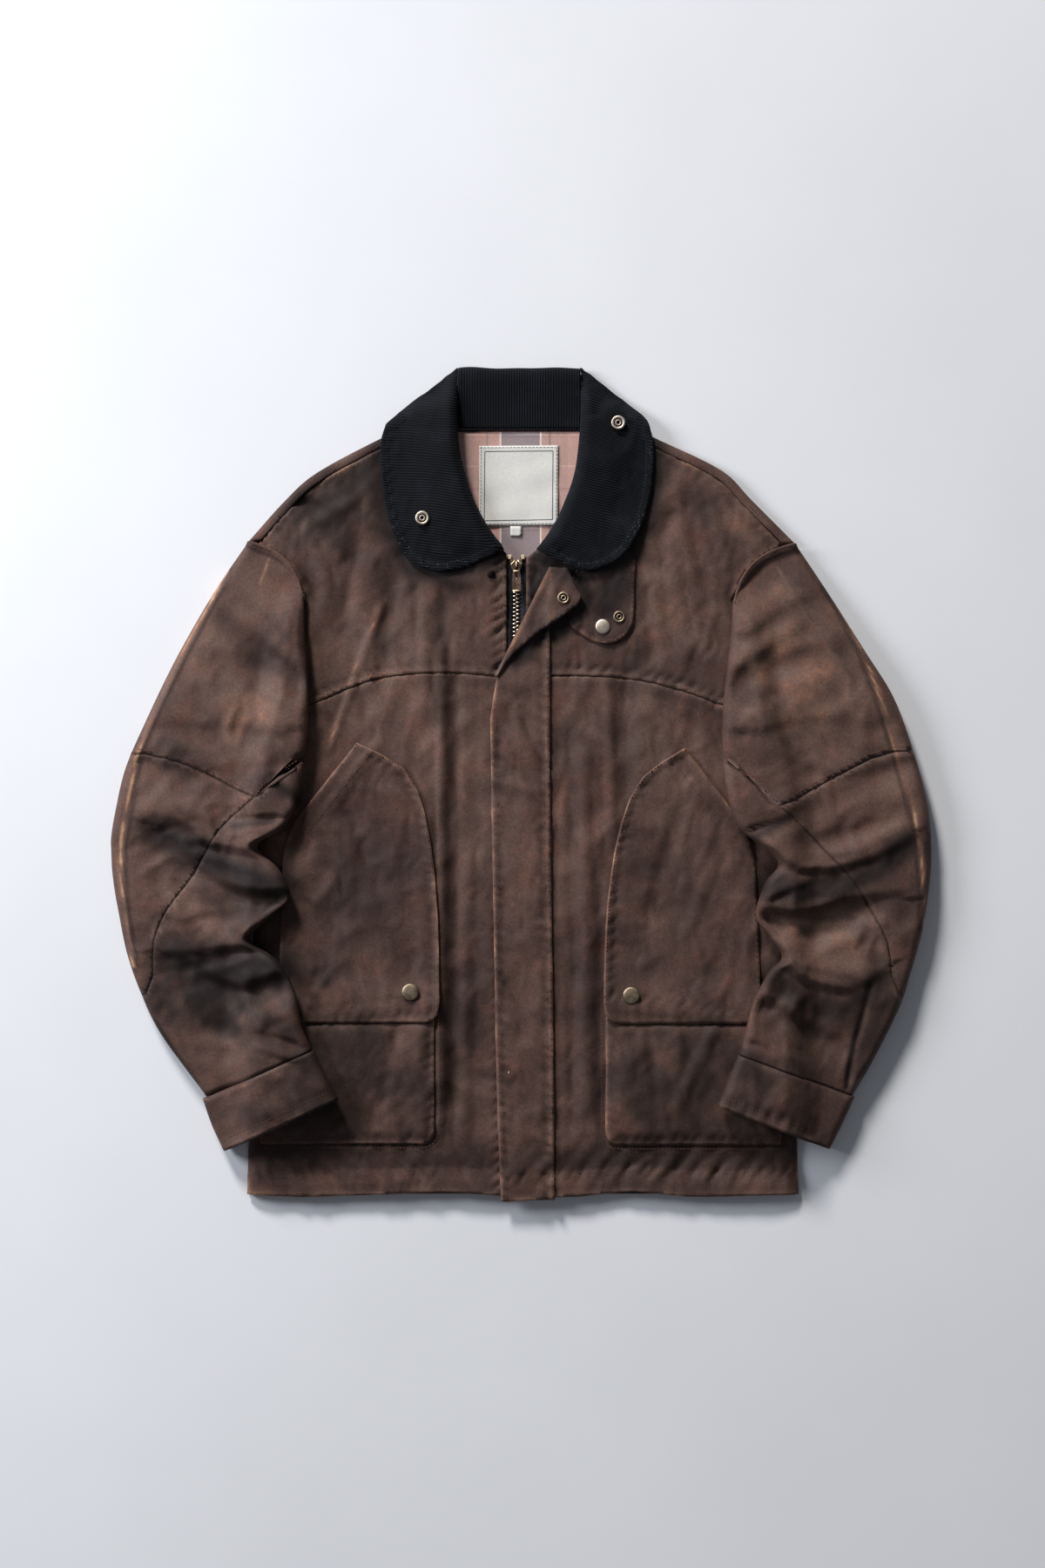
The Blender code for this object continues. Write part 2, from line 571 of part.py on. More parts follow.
# ---------------------------------------------------------------- sleeves
def tube_rings(side, table, from_armhole, steps=2, across=6, around=2):
    """Rings of a flattened sleeve, through the table's sections."""
    sections = smooth_path(table, steps) if steps > 1 else np.array(table, float)
    rings = []
    for number, (ox, oy, ix, iy, height, bow) in enumerate(sections):
        outer, inner = np.array([ox, oy]), np.array([ix, iy])
        width = np.linalg.norm(inner - outer)
        along = (inner - outer) / width
        across_way = np.array([-along[1], along[0]])
        across_way *= np.sign(across_way[1]) or 1
        radius = height / 2
        flat = np.linspace(radius, width - radius, across)
        turn = np.linspace(-math.pi / 2, math.pi / 2, around + 2)[1:-1]
        place = np.r_[flat, width - radius + radius * np.cos(turn), flat[::-1],
                      radius - radius * np.cos(turn)]
        level = np.r_[np.zeros(across), 0.5 + 0.5 * np.sin(turn), np.ones(across),
                      0.5 - 0.5 * np.sin(turn)]
        plan = outer + along * place[:, None]
        plan += across_way * (bow * np.sin(np.pi * place / width))[:, None]
        x, y = plan.T
        climb = sleeve_climb(x, y, side)
        away = ease(number / (2.5 * steps)) if from_armhole else 1.0
        thin = 0.5 - 0.4 * away
        middle = np.sin(np.pi * np.clip(place / width, 0, 1)).clip(0)
        folds = fold_height(x, y, SLEEVE_FOLDS[side]) * np.sqrt(middle)
        crown = 1.5 * away * middle
        top = height * (1 - thin * climb) + crown + folds
        rings.append(np.column_stack([plan, sleeve_under(x, y, side) + level * top]))
    return rings


def tube(name, rings, look):
    """A sleeve's wall: the rings are its outer side."""
    points, faces = strip_patch(rings, closed=True)
    made = surface(name, [(points, faces)], CLOTH, -1, look)
    shape = bmesh.new()
    shape.from_mesh(made.data)
    bmesh.ops.recalc_face_normals(shape, faces=shape.faces)
    shape.to_mesh(made.data)
    shape.free()
    return made


def seam_knife(name, path):
    """A thin upright blade along a seam, which parts the two pieces by SEAM."""
    path = smooth_path(path, 2)
    along = np.gradient(path, axis=0)
    along /= np.linalg.norm(along, axis=1)[:, None]
    across = np.stack([-along[:, 1], along[:, 0]], axis=1) * SEAM / 2
    blade = raised(name, np.vstack([path + across, (path - across)[::-1]]), -5, 70, zip_tape())
    blade.hide_render = True
    blade.display_type = "WIRE"
    return blade


def make_sleeve(side):
    """One tube parted along its two seams into head, elbow panel and forearm."""
    whole = tube("whole_sleeve", tube_rings(side, SLEEVE[side], True), waxed_cotton())
    blades = [seam_knife("v_seam_knife", V_SEAM[side]), seam_knife("elbow_knife", ELBOW_SEAM[side])]
    for blade in blades:
        cut = whole.modifiers.new("seam", "BOOLEAN")
        cut.operation = "DIFFERENCE"
        cut.solver = "EXACT"
        cut.object = blade
    evaluated = whole.evaluated_get(bpy.context.evaluated_depsgraph_get())
    shape = bmesh.new()
    shape.from_mesh(bpy.data.meshes.new_from_object(evaluated))
    for old in [whole] + blades:
        bpy.data.objects.remove(old, do_unlink=True)
    islands = split_islands(shape)
    islands.sort(key=lambda island: -max(vert.co.y for face in island for vert in face.verts))
    lower = sorted(islands[1:3], key=lambda island: -max(abs(v.co.x) for f in island for v in f.verts))
    for name, island in zip(("sleeve_upper_", "sleeve_elbow_", "sleeve_forearm_"),
                            [islands[0]] + lower):
        keep_island(name + side, island)
    shape.free()


def split_islands(shape):
    """The three largest separate bodies of a mesh, as lists of faces."""
    left = set(shape.faces)
    islands = []
    while left:
        stack = [left.pop()]
        island = []
        while stack:
            face = stack.pop()
            island.append(face)
            for edge in face.edges:
                for other in edge.link_faces:
                    if other in left:
                        left.remove(other)
                        stack.append(other)
        islands.append(island)
    return sorted(islands, key=len, reverse=True)[:3]


def keep_island(name, island):
    """One body of a cut tube, as its own object."""
    shape = bmesh.new()
    verts = {}
    for face in island:
        for vert in face.verts:
            if vert not in verts:
                verts[vert] = shape.verts.new(vert.co / MM)
        shape.faces.new([verts[vert] for vert in face.verts])
    bmesh.ops.dissolve_degenerate(shape, dist=0.01, edges=shape.edges)
    bmesh.ops.triangulate(shape, faces=shape.faces)
    data = bpy.data.meshes.new(name)
    shape.to_mesh(data)
    shape.free()
    add_object(name, data, waxed_cotton())


def make_cuff(side):
    tube("cuff_" + side, tube_rings(side, CUFF[side], False), waxed_cotton())


# ---------------------------------------------------------------- collar
def shoulder_top(x, y):
    """Top of the body under the collar, falling to the surface beyond the shoulder line."""
    loop_r, loop_l = BODY_LOOP["r"], BODY_LOOP["l"]
    on_body = np.where(x < 0, inside(x, y, loop_r), inside(x, y, loop_l))
    beyond = by_side(x, y, lambda x, y, side: nearest(x, y, smooth_path(SHOULDER[side])))
    return (front_under(x, y) + CLOTH) * np.where(on_body, 1, ease(1.25 - beyond / 18))


def leaf_under(x, y):
    """Underside of a leaf: high along the roll, turned down inside it, low at the outer edge."""
    roll = by_side(x, y, lambda x, y, side: nearest(x, y, smooth_path(LEAF_ROLL[side])))
    outer = by_side(x, y, lambda x, y, side: nearest(x, y, smooth_path(LEAF_OUTER[side])))
    rise = np.where(x > 0, LATCH_RISE * ease((262 - y) / 44), 0)
    low = np.maximum(shoulder_top(x, y) + REST, 2.0) + rise
    crest = ROLL_Z - 9 * ease((y - 340) / 40) - 2 * ease((250 - y) / 36) + 0.5 * rise
    share = roll / np.maximum(roll + outer, 0.01)
    turn_down = ROLL_DROP * np.maximum(1 - roll / 7, 0) ** 2
    lifted = low + np.maximum(crest - low, 0) * (1 - ease(share)) - turn_down
    return np.maximum(lifted, low * ease(roll / 4) + (1 - ease(roll / 4)) * (low - 1.0))


def make_collar():
    """The stand folds over at the crest into the back of the fall; a leaf lies to each side."""
    section = smooth_path([(STAND_FOOT_Y, 4.6), (342, 6.4), (360, 9.2), (371, 11.0), (377.5, 10.4),
                           (CREST_Y - 1.3, 7.0), (CREST_Y - 2.6, 3.4), (CREST_Y - 7, 1.5),
                           (CREST_Y - BACK_FALL, 1.5)], 2)
    edges = {side: np.array(STAND_EDGE[side], float).T for side in "rl"}
    rows = []
    for share in np.linspace(0, 1, 8):
        right, left = (np.interp(section[:, 0], edges[side][1], edges[side][0]) for side in "rl")
        rows.append(np.column_stack([right + (left - right) * share, section]))
    surface("collar_back", [strip_patch(rows)], CORD, 0, corduroy())
    for side in "rl":
        loop = outline(even(smooth_path(LEAF_OUTER[side]), 12), even(smooth_path(LEAF_ROLL[side]), 12))
        panel("collar_leaf_" + side, loop, leaf_under, CORD, corduroy(), 12)


# ---------------------------------------------------------------- lining and label
def make_lining():
    gap = SEAM
    panel("back_lining", outline(even([(-62, 323), (-62, 186)], 24), even([(-62, 186), (60, 186)], 24),
                                 even([(60, 186), (60, 323)], 24), even([(60, 323), (-62, 323)], 24)),
          lambda x, y: 0 * x + CLOTH + gap, LINING, check_lining(), 40)
    top = CLOTH + gap + LINING + gap
    raised("neck_label", np.array([(-38, 310), (-38.5, 236.5), (34, 237.5), (34.5, 310.5)]),
           top, top + 0.9, label_cloth())
    raised("size_tab", box_loop(-9.5, 227.5, 0.5, 236.4), top, top + 0.8, label_cloth())


# ---------------------------------------------------------------- zip
def make_zip():
    """Tapes under the front edges, the closed chain, the slider and its hanging pull."""
    tape_z = 5.3
    raised("zip_tape_r", box_loop(ZIP_X - 17, ZIP_BOTTOM_Y, ZIP_X - 3.4, ZIP_TOP_Y + 4), tape_z,
           tape_z + 1.0, zip_tape())
    raised("zip_tape_l", box_loop(ZIP_X + 3.4, ZIP_BOTTOM_Y, ZIP_X + 17, ZIP_TOP_Y + 4), tape_z,
           tape_z + 1.0, zip_tape())
    raised("zip_chain", box_loop(ZIP_X - 3.1, ZIP_BOTTOM_Y + 2, ZIP_X + 3.1, 192), tape_z - 0.6,
           tape_z + 1.7, antique_brass(), 0.5)
    for side, sign in (("r", -1), ("l", 1)):
        stop_x = ZIP_X + sign * 6.0
        raised("zip_stop_" + side, box_loop(stop_x - 1.6, 206, stop_x + 1.6, 210), tape_z + 1.3,
               tape_z + 3.0, antique_brass(), 0.4)
    slider = np.array([(-2.4, 193), (2.4, 193), (4.2, 197), (5.6, 203), (5.4, 205.6), (-5.4, 205.6),
                       (-5.6, 203), (-4.2, 197)]) + np.array([ZIP_X, 0])
    body = raised("zip_slider", slider, 6.7, 10.2, antique_brass(), 0.4)
    arch = raised("slider_arch", box_loop(ZIP_X - 1.0, PULL_AXIS_Y - 2.9, ZIP_X + 1.0, PULL_AXIS_Y + 2.9),
                  9.6, PULL_AXIS_Z + 2.2, antique_brass(), 0.3)
    slot = raised("arch_slot", box_loop(ZIP_X - 3, PULL_AXIS_Y - 1.7, ZIP_X + 3, PULL_AXIS_Y + 1.7),
                  10.6, PULL_AXIS_Z + 1.3, antique_brass())
    for cutter, target, kind in ((slot, arch, "DIFFERENCE"), (arch, body, "UNION")):
        join = target.modifiers.new("join", "BOOLEAN")
        join.operation = kind
        join.solver = "EXACT"
        join.object = cutter
        cutter.hide_render = True
        cutter.display_type = "WIRE"
    make_pull()


def make_pull():
    """The pull: a crossbar in the slider's arch, a tapering plate with a window, and a hoop."""
    hinge = bpy.data.objects.new("zip_pull_hinge", None)
    bpy.context.collection.objects.link(hinge)
    hinge.location = (ZIP_X * MM, PULL_AXIS_Y * MM, PULL_AXIS_Z * MM)
    plate = np.array([(-2.6, 0.6), (-3.2, -6), (-4.1, -14), (-4.1, -25), (4.1, -25), (4.1, -14),
                      (3.2, -6), (2.6, 0.6)])
    pull = raised("zip_pull", plate, -0.6, 0.6, antique_brass())
    windows = [raised("arch_window", box_loop(-1.6, -5.4, 1.6, -0.6), -2, 2, antique_brass()),
               raised("long_window", box_loop(-1.6, -14.0, 1.6, -7.0), -2, 2, antique_brass())]
    for window in windows:
        window.hide_render = True
        window.display_type = "WIRE"
        cut = pull.modifiers.new("window", "BOOLEAN")
        cut.operation = "DIFFERENCE"
        cut.solver = "EXACT"
        cut.object = window
    for piece in [pull] + windows:
        piece.parent = hinge


# ---------------------------------------------------------------- snaps
def lie_on(height, x, y, radius):
    """The highest that a surface comes under a disc."""
    turn = np.linspace(0, 2 * math.pi, 12, endpoint=False)
    xs, ys = np.r_[x, x + radius * np.cos(turn)], np.r_[y, y + radius * np.sin(turn)]
    return float(height(xs, ys).max()) + 0.5


def cap(name, place, radius, look):
    turned(name, place, [(radius - 0.6, 0), (radius, 0.7), (radius - 0.7, 1.7), (radius * 0.55, 2.2)], look)


def socket(name, place, radius, look):
    turned(name, place, [(radius - 0.4, 0), (radius, 0.8), (radius - 1.2, 1.8), (radius - 2.6, 1.7),
                         (radius - 3.2, 0.7)], look)


def make_snaps():
    pocket_top = {"r": (-101, -190), "l": (101, -193)}
    for side, (x, y) in pocket_top.items():
        z = lie_on(pocket_under, x, y, 8) + CLOTH
        cap("snap_pocket_" + side, (x, y, z), 7.7, antique_brass())
    latch_top = lie_on(front_under, 75, 144, 8) + CLOTH + REST + 1.9
    cap("snap_latch", (75, 144, latch_top), 6.8, pale_nickel())
    socket("socket_latch", (90, 153, latch_top), 5.4, antique_brass())
    turned_top = lie_on(storm_under, 39, 170, 7) + 2 * FLAP_TURN
    socket("socket_flap", (39, 170, turned_top), 5.6, antique_brass())
    for side, (x, y) in (("r", (-90, 243)), ("l", (89, 330))):
        socket("socket_collar_" + side, (x, y, lie_on(leaf_under, x, y, 7) + CORD), 6.4, pale_nickel())
    stud_top = lie_on(front_under, -27, 192, 4) + CLOTH
    cap("stud_neck", (-27, 192, stud_top), 3.6, antique_brass())


def main():
    for old in list(bpy.data.objects):
        bpy.data.objects.remove(old, do_unlink=True)
    make_back()
    make_lining()
    make_yokes()
    make_fronts()
    make_storm_flap()
    make_pockets()
    make_latch()
    for side in "rl":
        make_sleeve(side)
        make_cuff(side)
    make_collar()
    make_zip()
    make_snaps()


main()
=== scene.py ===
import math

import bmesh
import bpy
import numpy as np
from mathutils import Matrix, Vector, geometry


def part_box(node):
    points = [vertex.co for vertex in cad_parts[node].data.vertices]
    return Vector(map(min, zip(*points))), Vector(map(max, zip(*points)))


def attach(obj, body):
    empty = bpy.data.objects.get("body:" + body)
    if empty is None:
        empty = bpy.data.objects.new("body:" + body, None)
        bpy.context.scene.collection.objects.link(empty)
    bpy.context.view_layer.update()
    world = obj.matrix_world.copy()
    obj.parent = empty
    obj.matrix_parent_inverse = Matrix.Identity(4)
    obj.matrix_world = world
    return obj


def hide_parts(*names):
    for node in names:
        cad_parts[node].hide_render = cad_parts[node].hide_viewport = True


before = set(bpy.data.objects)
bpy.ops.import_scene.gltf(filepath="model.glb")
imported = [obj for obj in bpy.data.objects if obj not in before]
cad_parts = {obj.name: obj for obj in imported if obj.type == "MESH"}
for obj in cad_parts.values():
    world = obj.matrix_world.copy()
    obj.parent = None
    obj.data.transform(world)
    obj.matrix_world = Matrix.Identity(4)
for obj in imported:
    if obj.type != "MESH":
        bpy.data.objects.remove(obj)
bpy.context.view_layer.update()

# %% [markdown]
# # A waxed cotton jacket, laid flat
#
# The jacket lies on its back on a pale surface and is seen from straight above. Its shell is
# waxed cotton canvas, its collar is corduroy, and its neck is lined with a woven check.
#
# Cloth that lies flat is nearly a relief: each panel keeps its paper pattern's outline, and only
# its height changes. So each panel here is a flat cut, filled with small triangles, and lifted by
# a few height functions: the body's own roundness, its soft folds, its seams and its puckers.
# Panels that lie on each other share those functions, so one never sinks into the next.

# %% [markdown]
# ## Sizes
#
# Lengths are millimetres, as a cutter would write them, and `MM` turns them into metres when a
# mesh is made. `_r` is the wearer's right side, at -X, and `_l` the wearer's left, at +X.
# `FINE` is the spacing of the points that fill a panel: small enough for a pucker 11 mm long to
# be round, and large enough to keep every piece quick to make.

# %% Driving sizes
MM = 0.001

CLOTH = 1.6              # a waxed shell with its backing
CORD = 2.4               # corduroy collar, two plies
LINING = 1.0
SEAM = 0.3               # gap between pieces that are sewn together
REST = 0.9               # gap under a piece that lies on another
FRONT_Z = 8.0            # underside of the fronts, over the middle
SIDE_Z = 2.2             # underside of the fronts at the side folds
SIDE_ROUND = 24.0        # how far in from the side the fold's rounding reaches
SHOULDER_WRAP = 9.0      # the back rolls over the shoulder this far, to the seam
HEM_Y = -376.0
FRONT_EDGE_X = -13.0     # right front's edge, beside the zip
UNDER_EDGE_X = 5.0       # left front's edge, under the storm flap
FLAP_SEAM_X = 27.0       # where the storm flap is sewn to the left front
FLAP_TURN = 2.1          # outer radius of the fold in the turned-back corner
ZIP_X = -4.0
ZIP_TOP_Y = 204.0
ZIP_BOTTOM_Y = -362.0
SLEEVE_RAMP = 26.0       # the sleeve climbs from the surface on to the body in this length
BAG_DEPTH = 3.6          # how far a bellows bag stands off the front
FINE = 3.0               # spacing of the points in a panel that shows
COARSE = 12.0            # and in one that is nearly all hidden
OUTLINE_STEP = 24.0      # spacing of the points that draw a long even edge
ARMHOLE_STEPS = 9        # pieces that the armhole seam is drawn in
FLIP = {"r": 1, "l": -1}  # runs down the right side have the body on their left, and so on
CLOSE = 0.05             # points nearer than this are one point

# %% [markdown]
# ## Outlines
#
# Each outline is a short table of x, y places. Round stretches are drawn through their few points
# as a smooth curve, so a table holds only the points that the shape needs.

# %% Outline tables
SHOULDER = {"r": [(-84, 337), (-126, 318), (-186, 286), (-215, 261), (-250, 222)],
            "l": [(84, 335), (130, 314), (185, 287), (211, 261), (252, 220)]}
BODY_SIDE = {"r": [(-198, 170), (-210, 140), (-218, 70), (-240, -20), (-245, -180), (-250, HEM_Y)],
             "l": [(194, 167), (207, 140), (217, 70), (241, -20), (247, -180), (254, HEM_Y)]}
YOKE_SEAM = {"r": [(-191, 73), (-157, 88), (-125, 98), (-68, 102), (FRONT_EDGE_X, 98)],
             "l": [(182, 73), (156, 83), (110, 95), (60, 99), (UNDER_EDGE_X, 99)]}
NECK_EDGE = {"r": [(-84, 327), (-71, 316), (-66, 298), (-57, 264), (-42, 238), (FRONT_EDGE_X, 211)],
             "l": [(84, 325), (70, 314), (64, 296), (55, 262), (40, 234), (UNDER_EDGE_X, 207)]}
HEM = {"r": [(-250, HEM_Y), (-194, -378), (-90, -374), (-61, -374), (FRONT_EDGE_X, -377)],
       "l": [(254, HEM_Y), (200, -377), (154, -378), (103, -373), (50, -378), (UNDER_EDGE_X, -378)]}
POCKET_FRONT = {
    "r": [(-150, 38), (-114, 20), (-97, 1), (-87, -28), (-79, -78), (-75, -128), (-74, -200)],
    "l": [(150, 33), (117, 12), (100, -12), (88, -50), (80, -100), (77, -145), (76, -200)]}
POCKET_BACK = {"r": [(-222, -218), (-218, -60), (-207, -34)],
               "l": [(221, -219), (214, -60), (200, -32)]}
POCKET_CORNER = 14.0
POCKET_BAG = {"r": {"inner": -79, "outer": -238, "top": -212, "bottom": -329},
              "l": {"inner": 78, "outer": 238, "top": -213, "bottom": -330}}
FLAP_FREE = [(-18, -382), (-22, -280), (-25, -120), (-27, 0), (-28, 60), (-24, 99)]
FLAP_SEWN = [(FLAP_SEAM_X + 4, -380), (FLAP_SEAM_X + 3, -230), (FLAP_SEAM_X, 0), (FLAP_SEAM_X, 196)]
TURN_FOLD = [(-24, 99), (26, 199)]
TURN_EDGE = [(-8, 117), (14, 137), (38, 153), (56, 168), (50, 182), (42, 199)]
LATCH = [(62, 214), (101, 214), (104, 180), (103, 150), (98, 138), (86, 130), (72, 129),
         (58, 136), (44, 148), (44, 182)]

# Sleeve sections, from the armhole to the cuff seam. Columns: outer edge x, y; inner edge x, y;
# height of the flattened tube; bow of the section line towards the collar.
SLEEVE = {
    "r": [(-250, 222, -198, 170, 10.5, 12.7), (-282, 174, -197, 140, 13, 8),
          (-316, 114, -194, 98, 15, 3), (-344, 56, -194, 56, 15, 0), (-362, 14, -198, 13, 15, 0),
          (-371, -24, -206, -22, 15, 0), (-375, -48, -219, -42, 15, 0),
          (-375, -62, -240, -57, 14, 0), (-374, -80, -220, -78, 16, 0),
          (-371, -102, -210, -103, 17, 0), (-368, -118, -227, -120, 16, 0),
          (-364, -140, -246, -142, 14, 0), (-359, -160, -222, -160, 15, 0),
          (-349, -188, -206, -187, 15, 0), (-330, -228, -199, -220, 14, 0),
          (-288, -286, -190, -242, 12, 0)],
    "l": [(252, 220, 194, 167, 10.5, 12.7), (283, 173, 192, 137, 13, 8),
          (315, 122, 188, 105, 15, 3), (342, 78, 184, 66, 15, 0), (360, 28, 184, 28, 15, 0),
          (371, -12, 188, -8, 15, 0), (375, -38, 199, -40, 15, 0), (376, -62, 234, -70, 14, 0),
          (375, -84, 222, -91, 16, 0), (372, -108, 214, -120, 17, 0),
          (368, -132, 226, -138, 16, 0), (362, -156, 238, -158, 14, 0),
          (356, -176, 225, -172, 15, 0), (346, -206, 211, -200, 15, 0),
          (322, -254, 203, -230, 14, 0), (304, -285, 199, -246, 12, 0)]}
CUFF = {"r": [(-291.4, -288.2, -188.8, -242.2, 12.5, 0), (-283, -312, -178, -264, 13, 0),
              (-272, -336, -166, -287, 12, 0)],
        "l": [(305.7, -286.3, 197.9, -246.2, 12.5, 0), (295, -310, 189, -269, 13, 0),
              (283, -334, 179, -293, 12, 0)]}
V_SEAM = {"r": [(-430, 30), (-344, 27), (-293, 12), (-242, -12), (-224, 3), (-150, 48)],
          "l": [(430, 30), (341, 29), (285, 5), (235, -20), (210, 2), (140, 60)]}
ELBOW_SEAM = {"r": [(-242, -12), (-275, -42), (-298, -82), (-322, -114), (-335, -145),
                    (-341, -190), (-400, -225)],
              "l": [(235, -20), (259, -42), (298, -82), (315, -107), (335, -145), (345, -190),
                    (400, -230)]}

# Soft folds. Columns: start x, y; end x, y; half width; height, negative for a trough.
BODY_FOLDS = [(-76, 150, -78, -330, 28, 2.0), (-104, 190, -112, 110, 26, -1.4),
              (-166, 190, -158, 40, 26, -1.4), (60, 90, 64, -330, 28, 1.8),
              (96, 120, 92, 20, 26, -1.2), (150, 250, 168, 110, 28, 1.4),
              (-150, 250, -120, 140, 28, 1.3), (-40, 60, -52, -300, 26, -1.2)]
SLEEVE_FOLDS = {
    "r": [(-236, -57, -330, -30, 16, -3.6), (-246, -142, -330, -92, 17, -4.0),
          (-212, -103, -300, -92, 18, 2.6), (-224, 100, -276, 112, 20, -3.2),
          (-205, -186, -300, -236, 18, -2.2), (-236, -20, -322, 40, 20, 1.8)],
    "l": [(234, -70, 330, -36, 16, -3.6), (238, -158, 330, -110, 17, -4.0),
          (216, -120, 300, -104, 18, 2.6), (196, 102, 262, 112, 20, -3.2),
          (210, -200, 300, -244, 18, -2.2), (230, -28, 322, 36, 20, 1.8)]}

# Collar leaves: outer edge from the crest's corner round to the zip, then the roll line back up.
LEAF_OUTER = {"r": [(-57, 381), (-88, 358), (-114, 336), (-125, 325), (-129, 303), (-127, 276),
                    (-122, 246), (-112, 220), (-100, 203), (-84, 196), (-68, 195), (-48, 200),
                    (-30, 208), (-15, 214)],
              "l": [(54, 381), (79, 363), (100, 345), (115, 332), (121, 314), (121, 282),
                    (114, 246), (102, 220), (89, 205), (75, 198), (59, 195), (45, 199),
                    (30, 206), (15, 214)]}
LEAF_ROLL = {"r": [(-15, 214), (-24, 224), (-35, 240), (-46, 262), (-53, 284), (-58, 306),
                   (-60, 342), (-58, 372), (-57, 381)],
             "l": [(15, 214), (24, 224), (34, 240), (43, 260), (50, 280), (54, 302),
                   (57, 342), (56, 372), (54, 381)]}
ROLL_Z = 20.0            # underside of a leaf along its roll
ROLL_DROP = 7.0          # the leaf turns down this far inside its roll
LATCH_RISE = 5.0         # the left leaf lies on the latch and on the turned-back corner
CREST_Y = 381.0
STAND_FOOT_Y = 325.6
STAND_EDGE = {"r": [(-62, 325), (-62.5, 345), (-58.0, 358), (-57.2, 372), (-56.4, 382)],
              "l": [(59, 325), (59.5, 345), (55.6, 358), (55.0, 372), (53.4, 382)]}
BACK_FALL = 44.0         # depth of the fall behind the neck

# %% [markdown]
# ## Drawing and measuring paths
#
# A pattern cutter needs four tools: a curve through points, points at even steps, the distance
# from a line, and whether a place is inside a shape.

# %% Paths
def smooth_path(points, steps=4):
    """A curve through the points (Catmull-Rom), with steps pieces between each two."""
    path = np.array(points, float)
    ends = np.vstack([2 * path[0] - path[1], path, 2 * path[-1] - path[-2]])
    curve = []
    for i in range(1, len(ends) - 2):
        before, start, end, after = ends[i - 1:i + 3]
        for t in np.arange(steps) / steps:
            curve.append(0.5 * (2 * start + (end - before) * t
                                + (2 * before - 5 * start + 4 * end - after) * t ** 2
                                + (3 * start - before - 3 * end + after) * t ** 3))
    return np.vstack(curve + [path[-1]])


def even(path, spacing=None, count=None):
    """The same path with points about spacing apart, or in count steps; both ends kept."""
    path = np.array(path, float)
    runs = np.r_[0, np.cumsum(np.linalg.norm(np.diff(path, axis=0), axis=1))]
    count = count or max(1, round(runs[-1] / spacing))
    places = np.linspace(0, runs[-1], count + 1)
    return np.stack([np.interp(places, runs, column) for column in path.T], axis=1)


def outline(*runs):
    """One closed outline from runs of points that follow each other."""
    points = []
    for point in np.vstack(runs):
        if not points or np.linalg.norm(point - points[-1]) > CLOSE:
            points.append(point)
    if np.linalg.norm(points[0] - points[-1]) < CLOSE:
        points.pop()
    return np.array(points)


def to_pieces(x, y, path):
    """From each x, y to each piece of the path: its start, its share along, and its distance."""
    path = np.array(path, float)
    start, step = path[:-1], np.diff(path, axis=0)
    to_x, to_y = x[..., None] - start[:, 0], y[..., None] - start[:, 1]
    share = np.clip((to_x * step[:, 0] + to_y * step[:, 1]) / (step ** 2).sum(1), 0, 1)
    return step, to_x, to_y, share, np.hypot(to_x - share * step[:, 0], to_y - share * step[:, 1])


def nearest(x, y, path):
    """Distance from each x, y to the path."""
    return to_pieces(x, y, path)[-1].min(-1)


def along_path(x, y, path):
    """Distance from the path, signed by its left side, and the run along it to the foot."""
    step, to_x, to_y, share, away = to_pieces(x, y, path)
    length = np.linalg.norm(step, axis=1)
    runs = np.r_[0, np.cumsum(length)][:-1]
    best = away.argmin(-1)[..., None]
    turn, distance, share = (np.take_along_axis(values, best, -1)[..., 0]
                             for values in (step[:, 0] * to_y - step[:, 1] * to_x, away, share))
    best = best[..., 0]
    return distance * np.where(turn < 0, -1, 1), runs[best] + share * length[best]


def inside(x, y, loop):
    """Whether each x, y is in the closed outline."""
    hit = np.zeros(np.shape(x), bool)
    for (ax, ay), (bx, by) in zip(loop, np.roll(loop, -1, axis=0)):
        if ay != by:
            hit ^= ((ay > y) != (by > y)) & (x < (bx - ax) * (y - ay) / (by - ay) + ax)
    return hit


def ease(t):
    """0 to 1, with a soft start and end."""
    t = np.clip(t, 0, 1)
    return t * t * (3 - 2 * t)


def armhole_points(side, shift=0.0):
    """The armhole seam: a bowed line from the shoulder tip to the front of the underarm."""
    ox, oy, ix, iy, _, bow = SLEEVE[side][0]
    outer, inner = np.array([ox, oy], float), np.array([ix, iy], float)
    along = inner - outer
    across = np.array([-along[1], along[0]]) / np.linalg.norm(along)
    across *= np.sign(across[1])
    t = np.linspace(0, 1, ARMHOLE_STEPS + 1)[:, None]
    return outer + along * t + across * (bow * np.sin(np.pi * t) + shift)


BODY_EDGE = {side: smooth_path(BODY_SIDE[side]) for side in "rl"}
BODY_LOOP = {side: outline(BODY_EDGE[side], [(0, HEM_Y), (0, 330)], smooth_path(SHOULDER[side]),
                           armhole_points(side)) for side in "rl"}


def finer(loop, spacing):
    """The closed outline with every point kept, and more between them."""
    points = []
    for start, end in zip(loop, np.roll(loop, -1, axis=0)):
        count = max(1, round(np.linalg.norm(end - start) / spacing))
        points.extend(start + (end - start) * i / count for i in range(count))
    return np.array(points)


def leftward(path):
    """The way along the path at each of its points, and the way to its left, of length 1."""
    along = np.gradient(path, axis=0)
    along /= np.linalg.norm(along, axis=1)[:, None]
    return along, np.stack([-along[:, 1], along[:, 0]], axis=1)


def offset(path, distance):
    """The path moved sideways to its left by distance."""
    path = np.array(path, float)
    return path + leftward(path)[1] * distance


# %% [markdown]
# ## How the cloth lies
#
# The fronts are level in the middle and round down to the side folds. The functions below say how
# high the underside of each layer is at any x, y. Waxed canvas is stiff, so it lies in broad soft
# rolls with small crumples between them: `wobble` adds a few waves of different directions, which
# never repeat over a panel, and the seed keeps them the same on every run.

